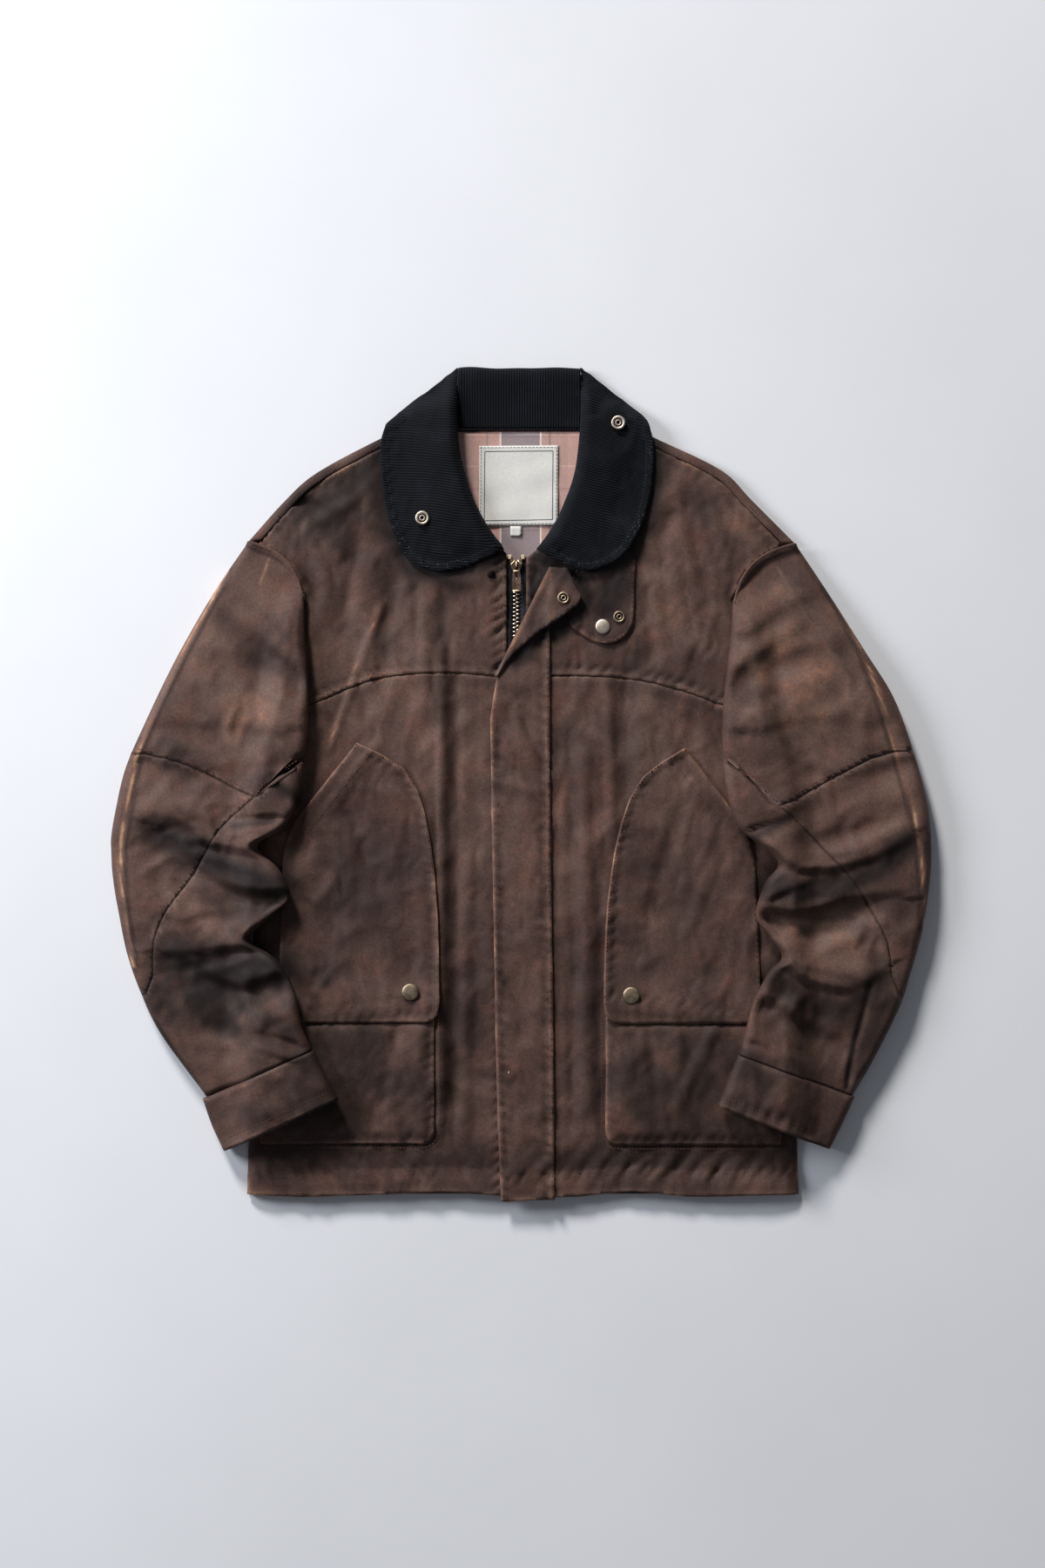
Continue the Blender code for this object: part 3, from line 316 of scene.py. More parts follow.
# %% Heights of the layers
def wobble(x, y, size, seed, waves=7):
    """A smooth uneven value, about -1 to 1, that changes over about size mm."""
    draw = np.random.default_rng(seed)
    total = np.zeros(np.shape(x))
    for _ in range(waves):
        way, phase = draw.uniform(0, 2 * np.pi, 2)
        rate = 2 * np.pi * draw.uniform(0.6, 1.5) / size
        total = total + np.sin((x * np.cos(way) + y * np.sin(way)) * rate + phase)
    return total / math.sqrt(waves)


def creases(x, y, size, seed):
    """Sharp little ridges with hollows between them, about size mm apart."""
    bend, waviness = 0.2 * size, 1.6 * size
    bent_x = x + bend * wobble(x, y, waviness, seed)
    bent_y = y + bend * wobble(x, y, waviness, seed + 1)
    return 0.5 - abs(wobble(bent_x, 0.6 * bent_y, size, seed + 2, 5))


def crumple(x, y):
    """The canvas's unevenness, shared by every layer at a place: broad rolls and small creases.

    Each term is a height, then a size in mm and a seed.
    """
    broad = 0.6 * wobble(x, y, 120, 3) + 0.3 * wobble(x, y, 46, 4)
    return broad + 1.3 * creases(x, y, 62, 5) + 0.6 * creases(x, y, 24, 8)


STEEP_SIDE = 0.45        # a ridge's lower side, as a share of its half width
SLOW_SIDE = 1.2          # and its upper side


def path_folds(x, y, folds):
    """Sum of curved folds. Rows: path; half width; height; how much is left at its two ends.

    Every path runs towards +X. A ridge then drops steeply on its lower side, at -Y, and rolls off
    slowly above, as cloth under its own weight does; a trough is the other way round.
    """
    total = np.zeros(np.shape(x))
    for points, half_width, height, start, end in folds:
        away, run = along_path(x, y, smooth_path(points, 3))
        length = np.linalg.norm(np.diff(np.array(points, float), axis=0), axis=1).sum()
        share = (run / length).clip(0, 1)
        steep = away * height < 0
        across = (abs(away) / (half_width * np.where(steep, STEEP_SIDE, SLOW_SIDE))).clip(0, 1)
        strength = start + (end - start) * ease(share)
        total += height * strength * (1 - across) ** 2 * (1 + 2 * across)
    return total


def fold_height(x, y, folds):
    """Sum of the soft ridges and troughs in the table, each fading out towards its ends."""
    total = np.zeros(np.shape(x))
    for ax, ay, bx, by, half_width, height in folds:
        length = math.hypot(bx - ax, by - ay)
        ux, uy = (bx - ax) / length, (by - ay) / length
        along = (x - ax) * ux + (y - ay) * uy
        across = np.minimum(abs((y - ay) * ux - (x - ax) * uy) / half_width, 1)
        fade = ease((along + half_width) / (2 * half_width))
        fade = fade * ease((length + half_width - along) / (2 * half_width))
        total += height * fade * 0.5 * (1 + np.cos(np.pi * across))
    return total


BODY_FOLD_GAIN = 1.2     # what the heights in each table are multiplied by
BODY_CREASE_GAIN = 1.7
# Start x, y; end x, y; half width; height.
BODY_CREASES = [(-72, 130, -74, -320, 7, 1.5), (-60, 100, -62, -300, 10, -1.3),
                (-119, 180, -128, 90, 14, -1.6), (-104, 190, -100, 120, 9, 1.0),
                (-71, 178, -70, 110, 12, -1.5), (-88, 170, -90, 60, 9, 1.0),
                (-165, 160, -140, 60, 10, -1.2), (-125, 169, -176, 30, 6, 1.0),
                (-205, 262, -178, 250, 14, -1.6), (-196, 236, -176, 180, 9, 1.1),
                (-186, 240, -150, 262, 10, 1.2), (-150, 232, -158, 160, 12, -1.3),
                (150, 262, 170, 180, 12, -1.5), (136, 230, 150, 120, 12, 1.2),
                (112, 190, 122, 110, 10, -1.2), (176, 250, 190, 200, 10, 1.2),
                (96, 104, 98, -20, 12, -1.5), (80, 100, 84, -60, 8, 1.2),
                (58, 30, 60, -300, 10, 1.2), (46, 60, 48, -320, 9, -1.2),
                (72, -80, 74, -320, 9, -1.3), (-48, -60, -52, -330, 10, 1.1),
                (-16, -60, 20, -108, 6, 1.1), (-18, -96, 22, -150, 6, -1.1),
                (-14, -140, 24, -196, 6, 1.2), (-18, -176, 22, -232, 6, -1.2),
                (-12, -214, 22, -262, 6, 1.1), (-18, -250, 14, -300, 7, -1.0),
                (2, 60, 26, 10, 7, -1.0), (-14, 34, 10, -14, 7, 0.9),
                (-160, -20, -120, -120, 12, -1.2), (-130, 40, -180, -30, 10, 1.1),
                (-186, -60, -150, -140, 10, 1.0), (150, -10, 120, -110, 12, -1.2),
                (130, 40, 170, -20, 10, 1.1), (178, -70, 150, -140, 10, 1.0),
                (-180, -222, -150, -290, 9, 1.0), (-112, -220, -130, -296, 9, -1.0),
                (176, -226, 140, -300, 9, 1.0), (116, -220, 126, -290, 9, -1.0)]


def body_folds(x, y):
    """Every fold and crumple of the body together."""
    return (BODY_FOLD_GAIN * fold_height(x, y, BODY_FOLDS)
            + BODY_CREASE_GAIN * fold_height(x, y, BODY_CREASES) + crumple(x, y))


def by_side(x, y, rule):
    """rule(x, y, side) for every place, with the side that each place is on."""
    return np.where(x < 0, rule(x, y, "r"), rule(x, y, "l"))


def front_under(x, y):
    """Underside of the fronts and yokes: level in the middle, rounded down to the side folds."""
    edge = by_side(x, y, lambda x, y, side: nearest(x, y, BODY_EDGE[side]))
    rounding = np.sqrt(1 - (1 - np.minimum(edge / SIDE_ROUND, 1)) ** 2)
    return SIDE_Z + rounding * (FRONT_Z - SIDE_Z + body_folds(x, y))


def bag_inward(x, y, side):
    """How far a place is inside the bellows bag's outline; negative outside it."""
    bag = POCKET_BAG[side]
    across = np.minimum(abs(x) - abs(bag["inner"]), abs(bag["outer"]) - abs(x))
    return np.minimum(across, np.minimum(y - bag["bottom"], bag["top"] - y))


BAG_EDGE = 14.0          # a bag reaches its depth this far in from its edge
PATCH_RISE_Y = -172.0    # the pocket patch starts to rise over the bag here
PATCH_RISE_RUN = 36.0    # and is up after this length
SLEEVE_RISE_Y = -140.0   # the same for a sleeve that lies on the patch
SLEEVE_RISE_RUN = 40.0
PATCH_SKIRT = 22.0       # a sleeve comes down from a patch over this length
BAG_SKIRT = 26.0         # and from a bag over this
BAG_HEAP = 8.6           # how high a bag lifts a sleeve


def bag_under(x, y):
    """Underside of a bellows bag, standing off the front a little way in from its edge."""
    return front_under(x, y) + CLOTH + REST + BAG_DEPTH * ease(by_side(x, y, bag_inward) / BAG_EDGE)


def pocket_under(x, y):
    """Underside of the hand-warmer patch, whose lower edge rises over the bag."""
    rise = BAG_DEPTH + CLOTH - 1.0
    return front_under(x, y) + CLOTH + REST + rise * ease((PATCH_RISE_Y - y) / PATCH_RISE_RUN)


def storm_under(x, y):
    """Underside of the storm flap, and of the throat latch, on the fronts."""
    return front_under(x, y) + CLOTH + REST


def sleeve_climb(x, y, side):
    """1 over the body, easing to 0 on the surface outside it."""
    edge = nearest(x, y, BODY_EDGE[side])
    return np.where(inside(x, y, BODY_LOOP[side]), 1.0, ease(1 - edge / SLEEVE_RAMP))


def sleeve_under(x, y, side):
    """Underside of a sleeve, on the surface or on the body and its pockets."""
    patch = pocket_outline(side)
    beyond = np.where(inside(x, y, patch), 0, nearest(x, y, outline(patch, patch[:1])))
    bag = -np.minimum(bag_inward(x, y, side), 0)
    flap = CLOTH + REST + 0.4 + (BAG_DEPTH + CLOTH) * ease((SLEEVE_RISE_Y - y) / SLEEVE_RISE_RUN)
    pocket = np.maximum(flap * ease(1 - beyond / PATCH_SKIRT), BAG_HEAP * ease(1 - bag / BAG_SKIRT))
    folds = np.maximum(body_folds(x, y), 0)
    return sleeve_climb(x, y, side) * (FRONT_Z + CLOTH + REST + 0.6 + folds + pocket)


def pocket_outline(side):
    """The hand-warmer patch: curved front edge, rounded lower corner, slanted opening."""
    front = even(smooth_path(POCKET_FRONT[side]), OUTLINE_STEP)
    sign = -FLIP[side]
    turn = np.linspace(0, math.pi / 2, 4)[1:]
    low_y = POCKET_BACK[side][0][1]
    corner_x = sign * (abs(POCKET_FRONT[side][-1][0]) + POCKET_CORNER * (1 - np.cos(turn)))
    corner_y = low_y + POCKET_CORNER * (1 - np.sin(turn))
    lower = even([(corner_x[-1], low_y), POCKET_BACK[side][0]], OUTLINE_STEP)
    back = even(POCKET_BACK[side], OUTLINE_STEP)
    opening = even([POCKET_BACK[side][-1], POCKET_FRONT[side][0]], OUTLINE_STEP)
    return outline(front, np.stack([corner_x, corner_y], axis=1), lower, back, opening)


# %% [markdown]
# ## Finishes
#
# Every colour is written as the sRGB value a person would pick, and one function turns it to the
# linear value that a shader takes. One small function adds a node with its settings and links, and
# the five after it are short names for the nodes that come up most. Patterns use each piece's
# Object coordinates, which are metres here, so a noise scale of 1000 / n makes features about n
# millimetres across.

# %% Colour and node helpers
MIX_SHARE, MIX_A, MIX_B, MIX_RESULT = 0, 6, 7, 2     # sockets of a Mix node set to colour


def linear(hex_colour):
    """The linear colour of an sRGB hex value."""
    channels = [int(hex_colour[i:i + 2], 16) / 255 for i in (0, 2, 4)]
    return (*[c / 12.92 if c <= 0.04045 else ((c + 0.055) / 1.055) ** 2.4 for c in channels], 1)


def add_node(tree, kind, feeds=(), **settings):
    """Adds a node. feeds maps an input to a value, or to another node's output."""
    made = tree.nodes.new(kind)
    for name, value in settings.items():
        setattr(made, name, value)
    for key, value in dict(feeds).items():
        if isinstance(value, bpy.types.NodeSocket):
            tree.links.new(value, made.inputs[key])
        else:
            made.inputs[key].default_value = value
    return made


def noise(tree, place, size, detail, roughness=0.5, distortion=0.0, **settings):
    """Noise with features about size millimetres across."""
    feeds = {"Vector": place, "Scale": 1000 / size, "Detail": detail, "Roughness": roughness,
             "Distortion": distortion}
    return add_node(tree, "ShaderNodeTexNoise", feeds, **settings).outputs[0]


def remap(tree, value, low, high, to_low=0.0, to_high=1.0, steps="LINEAR"):
    """The value with low to high moved to to_low to to_high, and held there."""
    feeds = {"Value": value, "From Min": low, "From Max": high, "To Min": to_low, "To Max": to_high}
    return add_node(tree, "ShaderNodeMapRange", feeds, interpolation_type=steps).outputs[0]


def mix(tree, share, first, second, blend="MIX"):
    """The first colour with a share of the second."""
    return add_node(tree, "ShaderNodeMix", {MIX_SHARE: share, MIX_A: first, MIX_B: second},
                    data_type="RGBA", blend_type=blend).outputs[MIX_RESULT]


def calculate(tree, operation, *values):
    """A sum on values or outputs."""
    return add_node(tree, "ShaderNodeMath", dict(enumerate(values)), operation=operation).outputs[0]


def bump(tree, height, strength, distance, below=()):
    """Relief of a height, distance in metres, over the relief below it."""
    feeds = {"Height": height, "Strength": strength, "Distance": distance, **dict(below)}
    return {"Normal": add_node(tree, "ShaderNodeBump", feeds).outputs[0]}


def new_finish(name, roughness, metallic=0.0, specular=0.5):
    """A material with its even values: the material, its tree, its shader and its coordinates."""
    made = bpy.data.materials.new(name)
    made.use_nodes = True
    tree, shader = made.node_tree, made.node_tree.nodes["Principled BSDF"]
    set_inputs(shader, {"Roughness": roughness, "Metallic": metallic, "Specular IOR Level": specular})
    return made, tree, shader, add_node(tree, "ShaderNodeTexCoord").outputs["Object"]


def set_inputs(node, values):
    for name, value in values.items():
        node.inputs[name].default_value = value


def feed(tree, shader, outputs):
    """Links outputs to the shader's inputs of the same names."""
    for name, output in outputs.items():
        tree.links.new(output, shader.inputs[name])


# %% [markdown]
# ### Waxed cotton canvas
#
# Tightly woven cotton soaked in wax. Where it is handled or rubs on a fold the wax goes, and the brown
# turns paler and drier; where wax gathers it is darker and a little glossier. Two numbers painted on
# every point say where the canvas is paler and where darker: the wear, and the wax, which also carries
# painted shade in folds and dents and under overlapping edges. Noise breaks up their edges so that no rub
# mark looks drawn. The colours lie over each other in layers, each with its share.

# %% Waxed cotton
CANVAS_DEEP = "43322D"
CANVAS_MID = "5A443C"
CANVAS_RED = "6E4537"
CANVAS_DRY = "765E53"
CANVAS_RUST = "7E5340"
CANVAS_WORN = "A6866B"
CANVAS_WAX_AND_SHADE = "1A1414"


def waxed_canvas():
    made, tree, shader, place = new_finish("waxed_cotton_canvas", 0.66, specular=0.22)
    cloud = noise(tree, place, 95, 5.0, 0.58, 0.5)
    mottle = noise(tree, place, 24, 6.0, 0.62, 0.3)
    grain = noise(tree, place, 2.4, 3.0, 0.7)
    wear, wax_and_shade = [add_node(tree, "ShaderNodeAttribute", attribute_name=label).outputs["Fac"]
                 for label in ("wear", "wax_and_shade")]

    def spread(value, low, high, top=1.0):
        return remap(tree, value, low, high, 0.0, top, "SMOOTHSTEP")

    def broken(mark, low, high, top, ragged=0.9, foot=(0.02, 0.4)):
        """The painted mark, its edge broken up by the mottle, fading out below its foot."""
        shift = calculate(tree, "MULTIPLY_ADD", mottle, ragged, -ragged / 2)
        uneven = spread(calculate(tree, "ADD", mark, shift), low, high, top)
        return calculate(tree, "MULTIPLY", uneven, spread(mark, *foot))

    drawn = add_node(tree, "ShaderNodeMapping", {"Vector": place, "Scale": (1.0, 0.16, 1.0)})
    streak = noise(tree, drawn.outputs[0], 16, 4.0, 0.55, 0.4)
    # The last layer darkens by the wax number: waxy patches and painted shade together.
    layers = [(CANVAS_MID, spread(cloud, 0.36, 0.62)), (CANVAS_RED, spread(mottle, 0.46, 0.7, 0.32)),
              (CANVAS_WAX_AND_SHADE, spread(streak, 0.52, 0.74, 0.2)),
              (CANVAS_DRY, spread(cloud, 0.55, 0.78, 0.35)),
              (CANVAS_DRY, spread(wear, 0.0, 0.6, 0.6)), (CANVAS_RUST, broken(wear, 0.3, 0.75, 0.7)),
              (CANVAS_WORN, broken(wear, 0.5, 0.9, 0.85)),
              (CANVAS_WAX_AND_SHADE, broken(wax_and_shade, -0.05, 1.05, 0.95, 0.16, (0.0, 0.3)))]
    colour = linear(CANVAS_DEEP)
    for hex_colour, share in layers:
        colour = mix(tree, share, colour, linear(hex_colour))
    grained = mix(tree, 1.0, colour, remap(tree, grain, 0.3, 0.7, 0.76, 1.22), "MULTIPLY")
    dry = remap(tree, mottle, 0.3, 0.7, 0.6, 0.76)
    crease = noise(tree, place, 46, 3.0, 0.5, 0.8, noise_type="RIDGED_MULTIFRACTAL", normalize=True)
    relief = bump(tree, crease, 0.5, 0.0016)
    relief = bump(tree, mottle, 0.5, 0.0012, relief)
    relief = bump(tree, grain, 0.3, 0.0002, relief)
    feed(tree, shader, {"Base Color": grained, "Roughness": dry, **relief})
    return made


CANVAS = waxed_canvas()
print("canvas nodes:", len(CANVAS.node_tree.nodes))

# %% [markdown]
# ### Corduroy
#
# Cotton pile in fine ribs, called wales. The real wales are under 2 mm apart; they are drawn 2.4 mm
# apart, as close as a view of the whole jacket can show. The pile swallows light, so it is nearly
# black, with a soft sheen at glancing angles, and paler rubbed streaks.

# %% Corduroy
WALE = 2.4


def corduroy_cloth():
    made, tree, shader, place = new_finish("black_corduroy", 0.92, specular=0.2)
    set_inputs(shader, {"Sheen Weight": 0.12, "Sheen Roughness": 0.5, "Sheen Tint": linear("5A6478")})
    across = add_node(tree, "ShaderNodeAttribute", attribute_name="wale").outputs["Fac"]
    rib = calculate(tree, "SINE", calculate(tree, "MULTIPLY", across, 2 * math.pi / WALE))
    rub = noise(tree, place, 22, 5.0, 0.65)
    # Painted light across the wales: each crest a little paler and each furrow darker.
    ribs_painted_light = mix(tree, remap(tree, rib, -1.0, 1.0, 0.0, 0.6), linear("07080B"), linear("12151C"))
    streaked = mix(tree, remap(tree, rub, 0.5, 0.8, 0.0, 0.5), ribs_painted_light, linear("1F232C"))
    relief = bump(tree, rib, 0.5, 0.0006)
    relief = bump(tree, noise(tree, place, 1.6, 2.0), 0.4, 0.0003, relief)
    feed(tree, shader, {"Base Color": streaked, **relief})
    return made


CORDUROY = corduroy_cloth()

# %% [markdown]
# ### Check lining
#
# A woven check is two sets of stripes laid over each other: warp stripes up the cloth, weft stripes
# across it. Each set is one ramp of colours read by the place along x or y, repeated every repeat,
# and the weft shows for a third, as threads that cross do. The colours and the repeat are ordinary
# ones for a brown shirt check, in a layout of its own.

# %% Check lining
CHECK_REPEAT = 86.0
WEFT_SHARE = 0.3
WARP = [(0.0, "CFA195"), (0.13, "A38C88"), (0.15, "CFA195"), (0.27, "F2E2D0"), (0.29, "8F8284"),
        (0.70, "F2E2D0"), (0.72, "C09A8E"), (0.80, "8A7474"), (0.82, "C09A8E")]
WEFT = [(0.0, "A59190"), (0.30, "7E6C6D"), (0.33, "A99390"), (0.55, "D2BCAB"), (0.57, "A18D8D"),
        (0.86, "7E6C6D"), (0.89, "A59190")]


def check_cloth():
    made, tree, shader, place = new_finish("woven_check_cotton", 0.86, specular=0.25)
    parts = add_node(tree, "ShaderNodeSeparateXYZ", {0: place})
    sets = []
    for axis, bands, shift in ((0, WARP, 0.5), (1, WEFT, 0.17)):
        run = calculate(tree, "MULTIPLY_ADD", parts.outputs[axis], 1000 / CHECK_REPEAT, 10 + shift)
        ramp = add_node(tree, "ShaderNodeValToRGB", {0: calculate(tree, "FRACT", run)})
        ramp.color_ramp.interpolation = "CONSTANT"
        stops = ramp.color_ramp.elements
        while len(stops) < len(bands):
            stops.new(1.0)
        for stop, (position, hex_colour) in zip(stops, bands):
            stop.position, stop.color = position, linear(hex_colour)
        sets.append(ramp.outputs[0])
    thread = noise(tree, place, 1.5, 2.0)
    speck = remap(tree, thread, 0.3, 0.7, 0.9, 1.1)
    cloth = mix(tree, 1.0, mix(tree, WEFT_SHARE, *sets), speck, "MULTIPLY")
    feed(tree, shader, {"Base Color": cloth, **bump(tree, thread, 0.3, 0.0002)})
    return made


CHECK = check_cloth()


# %% [markdown]
# ### Woven labels, tape, thread and metal
#
# The small finishes share one form: a colour, a fine noise that varies it, and a bump from the same
# noise. Antique brass is brass browned and polished again, so its high places are the paler ones.

# %% Small finishes
def small_finish(name, hex_low, hex_high, feature, roughness, metallic=0.0, relief=0.0002):
    """A finish that varies between two colours, over features that many millimetres across."""
    made, tree, shader, place = new_finish(name, roughness, metallic)
    grain = noise(tree, place, feature, 3.0)
    colour = mix(tree, remap(tree, grain, 0.35, 0.65), linear(hex_low), linear(hex_high))
    feed(tree, shader, {"Base Color": colour, **bump(tree, grain, 0.3, relief)})
    return made


LABEL = small_finish("woven_label", "D2D0CA", "DEDCD6", 1.2, 0.85)
TAPE = small_finish("woven_zip_tape", "101014", "201F25", 1.5, 0.88)
THREAD = small_finish("cotton_thread", "3A2620", "5E3A2B", 9.0, 0.8)
DARK_THREAD = small_finish("dark_thread", "0E1014", "1A1D24", 4.0, 0.8)
SEAM_SHADE = small_finish("seam_groove_thread", "1C1512", "2E211B", 9.0, 0.9)
LINT = small_finish("pale_lint", "50555E", "8A8E96", 3.0, 0.95)
GREY_THREAD = small_finish("grey_thread", "56565C", "6E6E74", 2.0, 0.8)
BRASS = small_finish("antique_brass", "857562", "B3A189", 6.0, 0.5, 1.0, 0.00002)
BRONZE = small_finish("bronze_pull", "665244", "94796A", 5.0, 0.55, 1.0, 0.00002)
# Near-white brass: painted highlights on the zip's stops and beads.
HIGHLIGHT_BRASS = small_finish("brass_painted_highlight", "E6CDA6", "FFEFD2", 5.0, 0.62, 1.0, 0.00002)
TEETH = small_finish("cast_zip_teeth", "B5A696", "DDD2C4", 3.0, 0.36, 1.0, 0.00002)
NICKEL = small_finish("worn_nickel", "C4B5A4", "E6D9CA", 5.0, 0.5, 1.0, 0.00002)
# Dark metal for the neck stud, and for the painted shade in the sockets' hollows.
DARK_METAL_AND_SHADE = small_finish("blackened_metal_and_shade", "141213", "242020", 1.6, 0.5, 1.0, 0.00005)
print("finishes:", len(bpy.data.materials))


# %% [markdown]
# ## Where the canvas is worn and waxy, and where shade is painted
#
# Wear follows use: the edges of every panel, the outer folds of the sleeves, and creases that the jacket
# has been folded on many times. `RUBBED_LINES` and the patch tables place the marks that can be seen, and
# the function below turns them into the two numbers on each point: the wear, and the wax with the painted
# shade.
#
# Painted shadow lies where an edge stands over the canvas: under the collar's leaves, under the
# turned-back corner, on the latch beside the leaf, and beside the zip.

# %% Patina tables
# Painted shadow: a dark line beside some rubbed folds, where a groove's shade would fall.
SHADOW_LINE_WIDTH = 2.6       # the darker line beside some rubbed folds
# Points of the line; half width; strength; how far to its side a painted shadow line lies, 0 for none.
RUBBED_LINES = [
    ([(-269, 195), (-303, 130), (-335, 64), (-350, 26), (-359, -20), (-365, -63), (-362, -114),
      (-354, -166)], 2.3, 0.95, -4.5),
    ([(-230, 208), (-238, 184)], 1.6, 0.8, 0.0),
    ([(281, 182), (305, 136), (322, 95), (334, 59), (344, 24), (354, -8), (364, -54), (368, -105),
      (369, -130)], 2.3, 0.9, 4.5),
    ([(-125, 169), (-155, 97), (-176, 30)], 2.2, 0.55, 0.0),
    ([(-110, 120), (-128, 60)], 1.8, 0.4, 0.0), ([(-74, 98), (-76, -60), (-74, -200)], 2.0, 0.35, 0.0),
    ([(236, 196), (262, 150)], 2.0, 0.5, 0.0), ([(150, 180), (166, 120)], 1.8, 0.35, 0.0)]
# x, y; half width, half length; turn in degrees; strength.
DRY_PATCHES = [(-250, 60, 60, 40, -8, 0.7), (-290, 130, 30, 60, -30, 0.5), (-110, 130, 70, 60, 20, 0.5),
               (-50, 20, 30, 140, 0, 0.4), (-210, 230, 34, 30, 40, 0.5), (256, 104, 60, 84, 20, 0.74),
               (120, 160, 60, 60, 0, 0.5), (110, 40, 50, 60, 0, 0.45), (40, -20, 30, 120, 0, 0.4),
               (-300, -100, 60, 26, 20, 0.5), (290, -140, 60, 30, -10, 0.6), (205, 236, 34, 30, -40, 0.6),
               (-330, -20, 24, 70, 10, 0.4), (345, 0, 24, 80, 0, 0.6), (0, -60, 30, 140, 0, 0.35)]
# Painted shade on the slopes and in the troughs of folds, in dents and along the hem. Points of the line;
# half width; strength.
PAINTED_SHADE_LINES = [
    ([(-330, -44), (-300, -58), (-262, -80), (-222, -96)], 20, 0.98),
    ([(-316, -158), (-285, -168), (-250, -172), (-215, -168)], 24, 0.98),
    ([(-228, 6), (-206, -14)], 8, 0.8), ([(-262, -38), (-226, -34)], 5, 0.7),
    ([(-334, -214), (-318, -244), (-300, -272)], 3.5, 0.95),
    ([(-270, 150), (-236, 118), (-204, 96)], 16, 0.5),
    ([(-244, -204), (-208, -226)], 14, 0.6),
    ([(222, -92), (262, -98), (310, -86), (352, -56)], 16, 0.95),
    ([(232, -176), (262, -200), (296, -204), (326, -178)], 17, 0.85), ([(214, -48), (244, -30)], 6, 0.8),
    ([(322, -176), (310, -215), (301, -250), (297, -277)], 3, 0.95),
    ([(334, -190), (320, -230), (306, -262)], 9, 0.6), ([(206, 80), (240, 104), (280, 130)], 14, 0.4),
    ([(-71, 170), (-73, 110), (-74, 60)], 12, 0.5), ([(-66, 100), (-66, -60), (-66, -320)], 11, 0.35),
    ([(-122, 190), (-124, 120)], 12, 0.5), ([(104, 120), (102, 20), (98, -60)], 9, 0.45),
    ([(48, 60), (50, -80), (54, -320)], 8, 0.4), ([(72, -60), (74, -320)], 7, 0.4),
    ([(-240, -336), (0, -346), (250, -336)], 18, 0.6)]
# Dark patches: the darker tone of the bags and of some waxy places, and painted shade in dents, on the
# elbow folds and beside the zip.
WAX_AND_SHADE_PATCHES = [(-165, -268, 100, 72, 0, 0.72), (165, -268, 100, 72, 0, 0.72),
                (-166, 262, 74, 46, 20, 0.9), (-222, 112, 40, 20, -30, 0.4), (-120, 200, 40, 50, 0, 0.5),
                (-310, 30, 34, 24, 0, 0.5), (206, 96, 30, 18, 30, 0.4),
                (-226, -300, 60, 22, 0, 0.6), (-270, -184, 82, 52, 14, 1.0),
                (168, 262, 30, 34, 0, 0.6), (-240, -110, 60, 30, -10, 0.5),
                (-270, -200, 50, 40, 20, 0.6), (-100, 150, 20, 50, 10, 0.3),
                (270, -90, 60, 22, 20, 0.5), (-144, -100, 52, 92, 0, 0.5),
                (144, -90, 48, 90, 0, 0.5), (240, -220, 40, 40, 0, 0.5),
                (-230, 10, 30, 60, 0, 0.5), (222, -10, 22, 50, 0, 0.3), (0, 165, 30, 30, 0, 0.4),
                (-60, -220, 30, 110, 0, 0.4), (60, -240, 30, 90, 0, 0.4)]


# Painted shadows cast by the edges of the leaves and of the turned-back corner.
CAST_SHADOW_LINES = [(LEAF_OUTER["r"][3:], 18.0, 0.96), (LEAF_OUTER["l"][3:], 17.0, 0.97),
           (offset(TURN_EDGE, -6.0), 11.0, 0.98)]
PATCH_EDGE = 1.5         # a patch fades out at this many times its half width
DRY_GAIN = 0.75


def patches(x, y, table, seed):
    """The strongest of the table's patches at each place, with uneven outlines."""
    total = np.zeros(np.shape(x))
    for ax, ay, half_width, half_length, turn, strength in table:
        cos, sin = math.cos(math.radians(turn)), math.sin(math.radians(turn))
        u = ((x - ax) * cos + (y - ay) * sin) / half_width
        v = ((y - ay) * cos - (x - ax) * sin) / half_length
        inward = (PATCH_EDGE - np.hypot(u, v) + 0.25 * wobble(x, y, 46, seed)
                  + 0.12 * wobble(x, y, 16, seed + 1))
        total = np.maximum(total, strength * ease(inward / PATCH_EDGE))
    return total


def band(away, width):
    """1 on a line, falling off to both sides over about width."""
    return np.exp(-(away / width) ** 2)


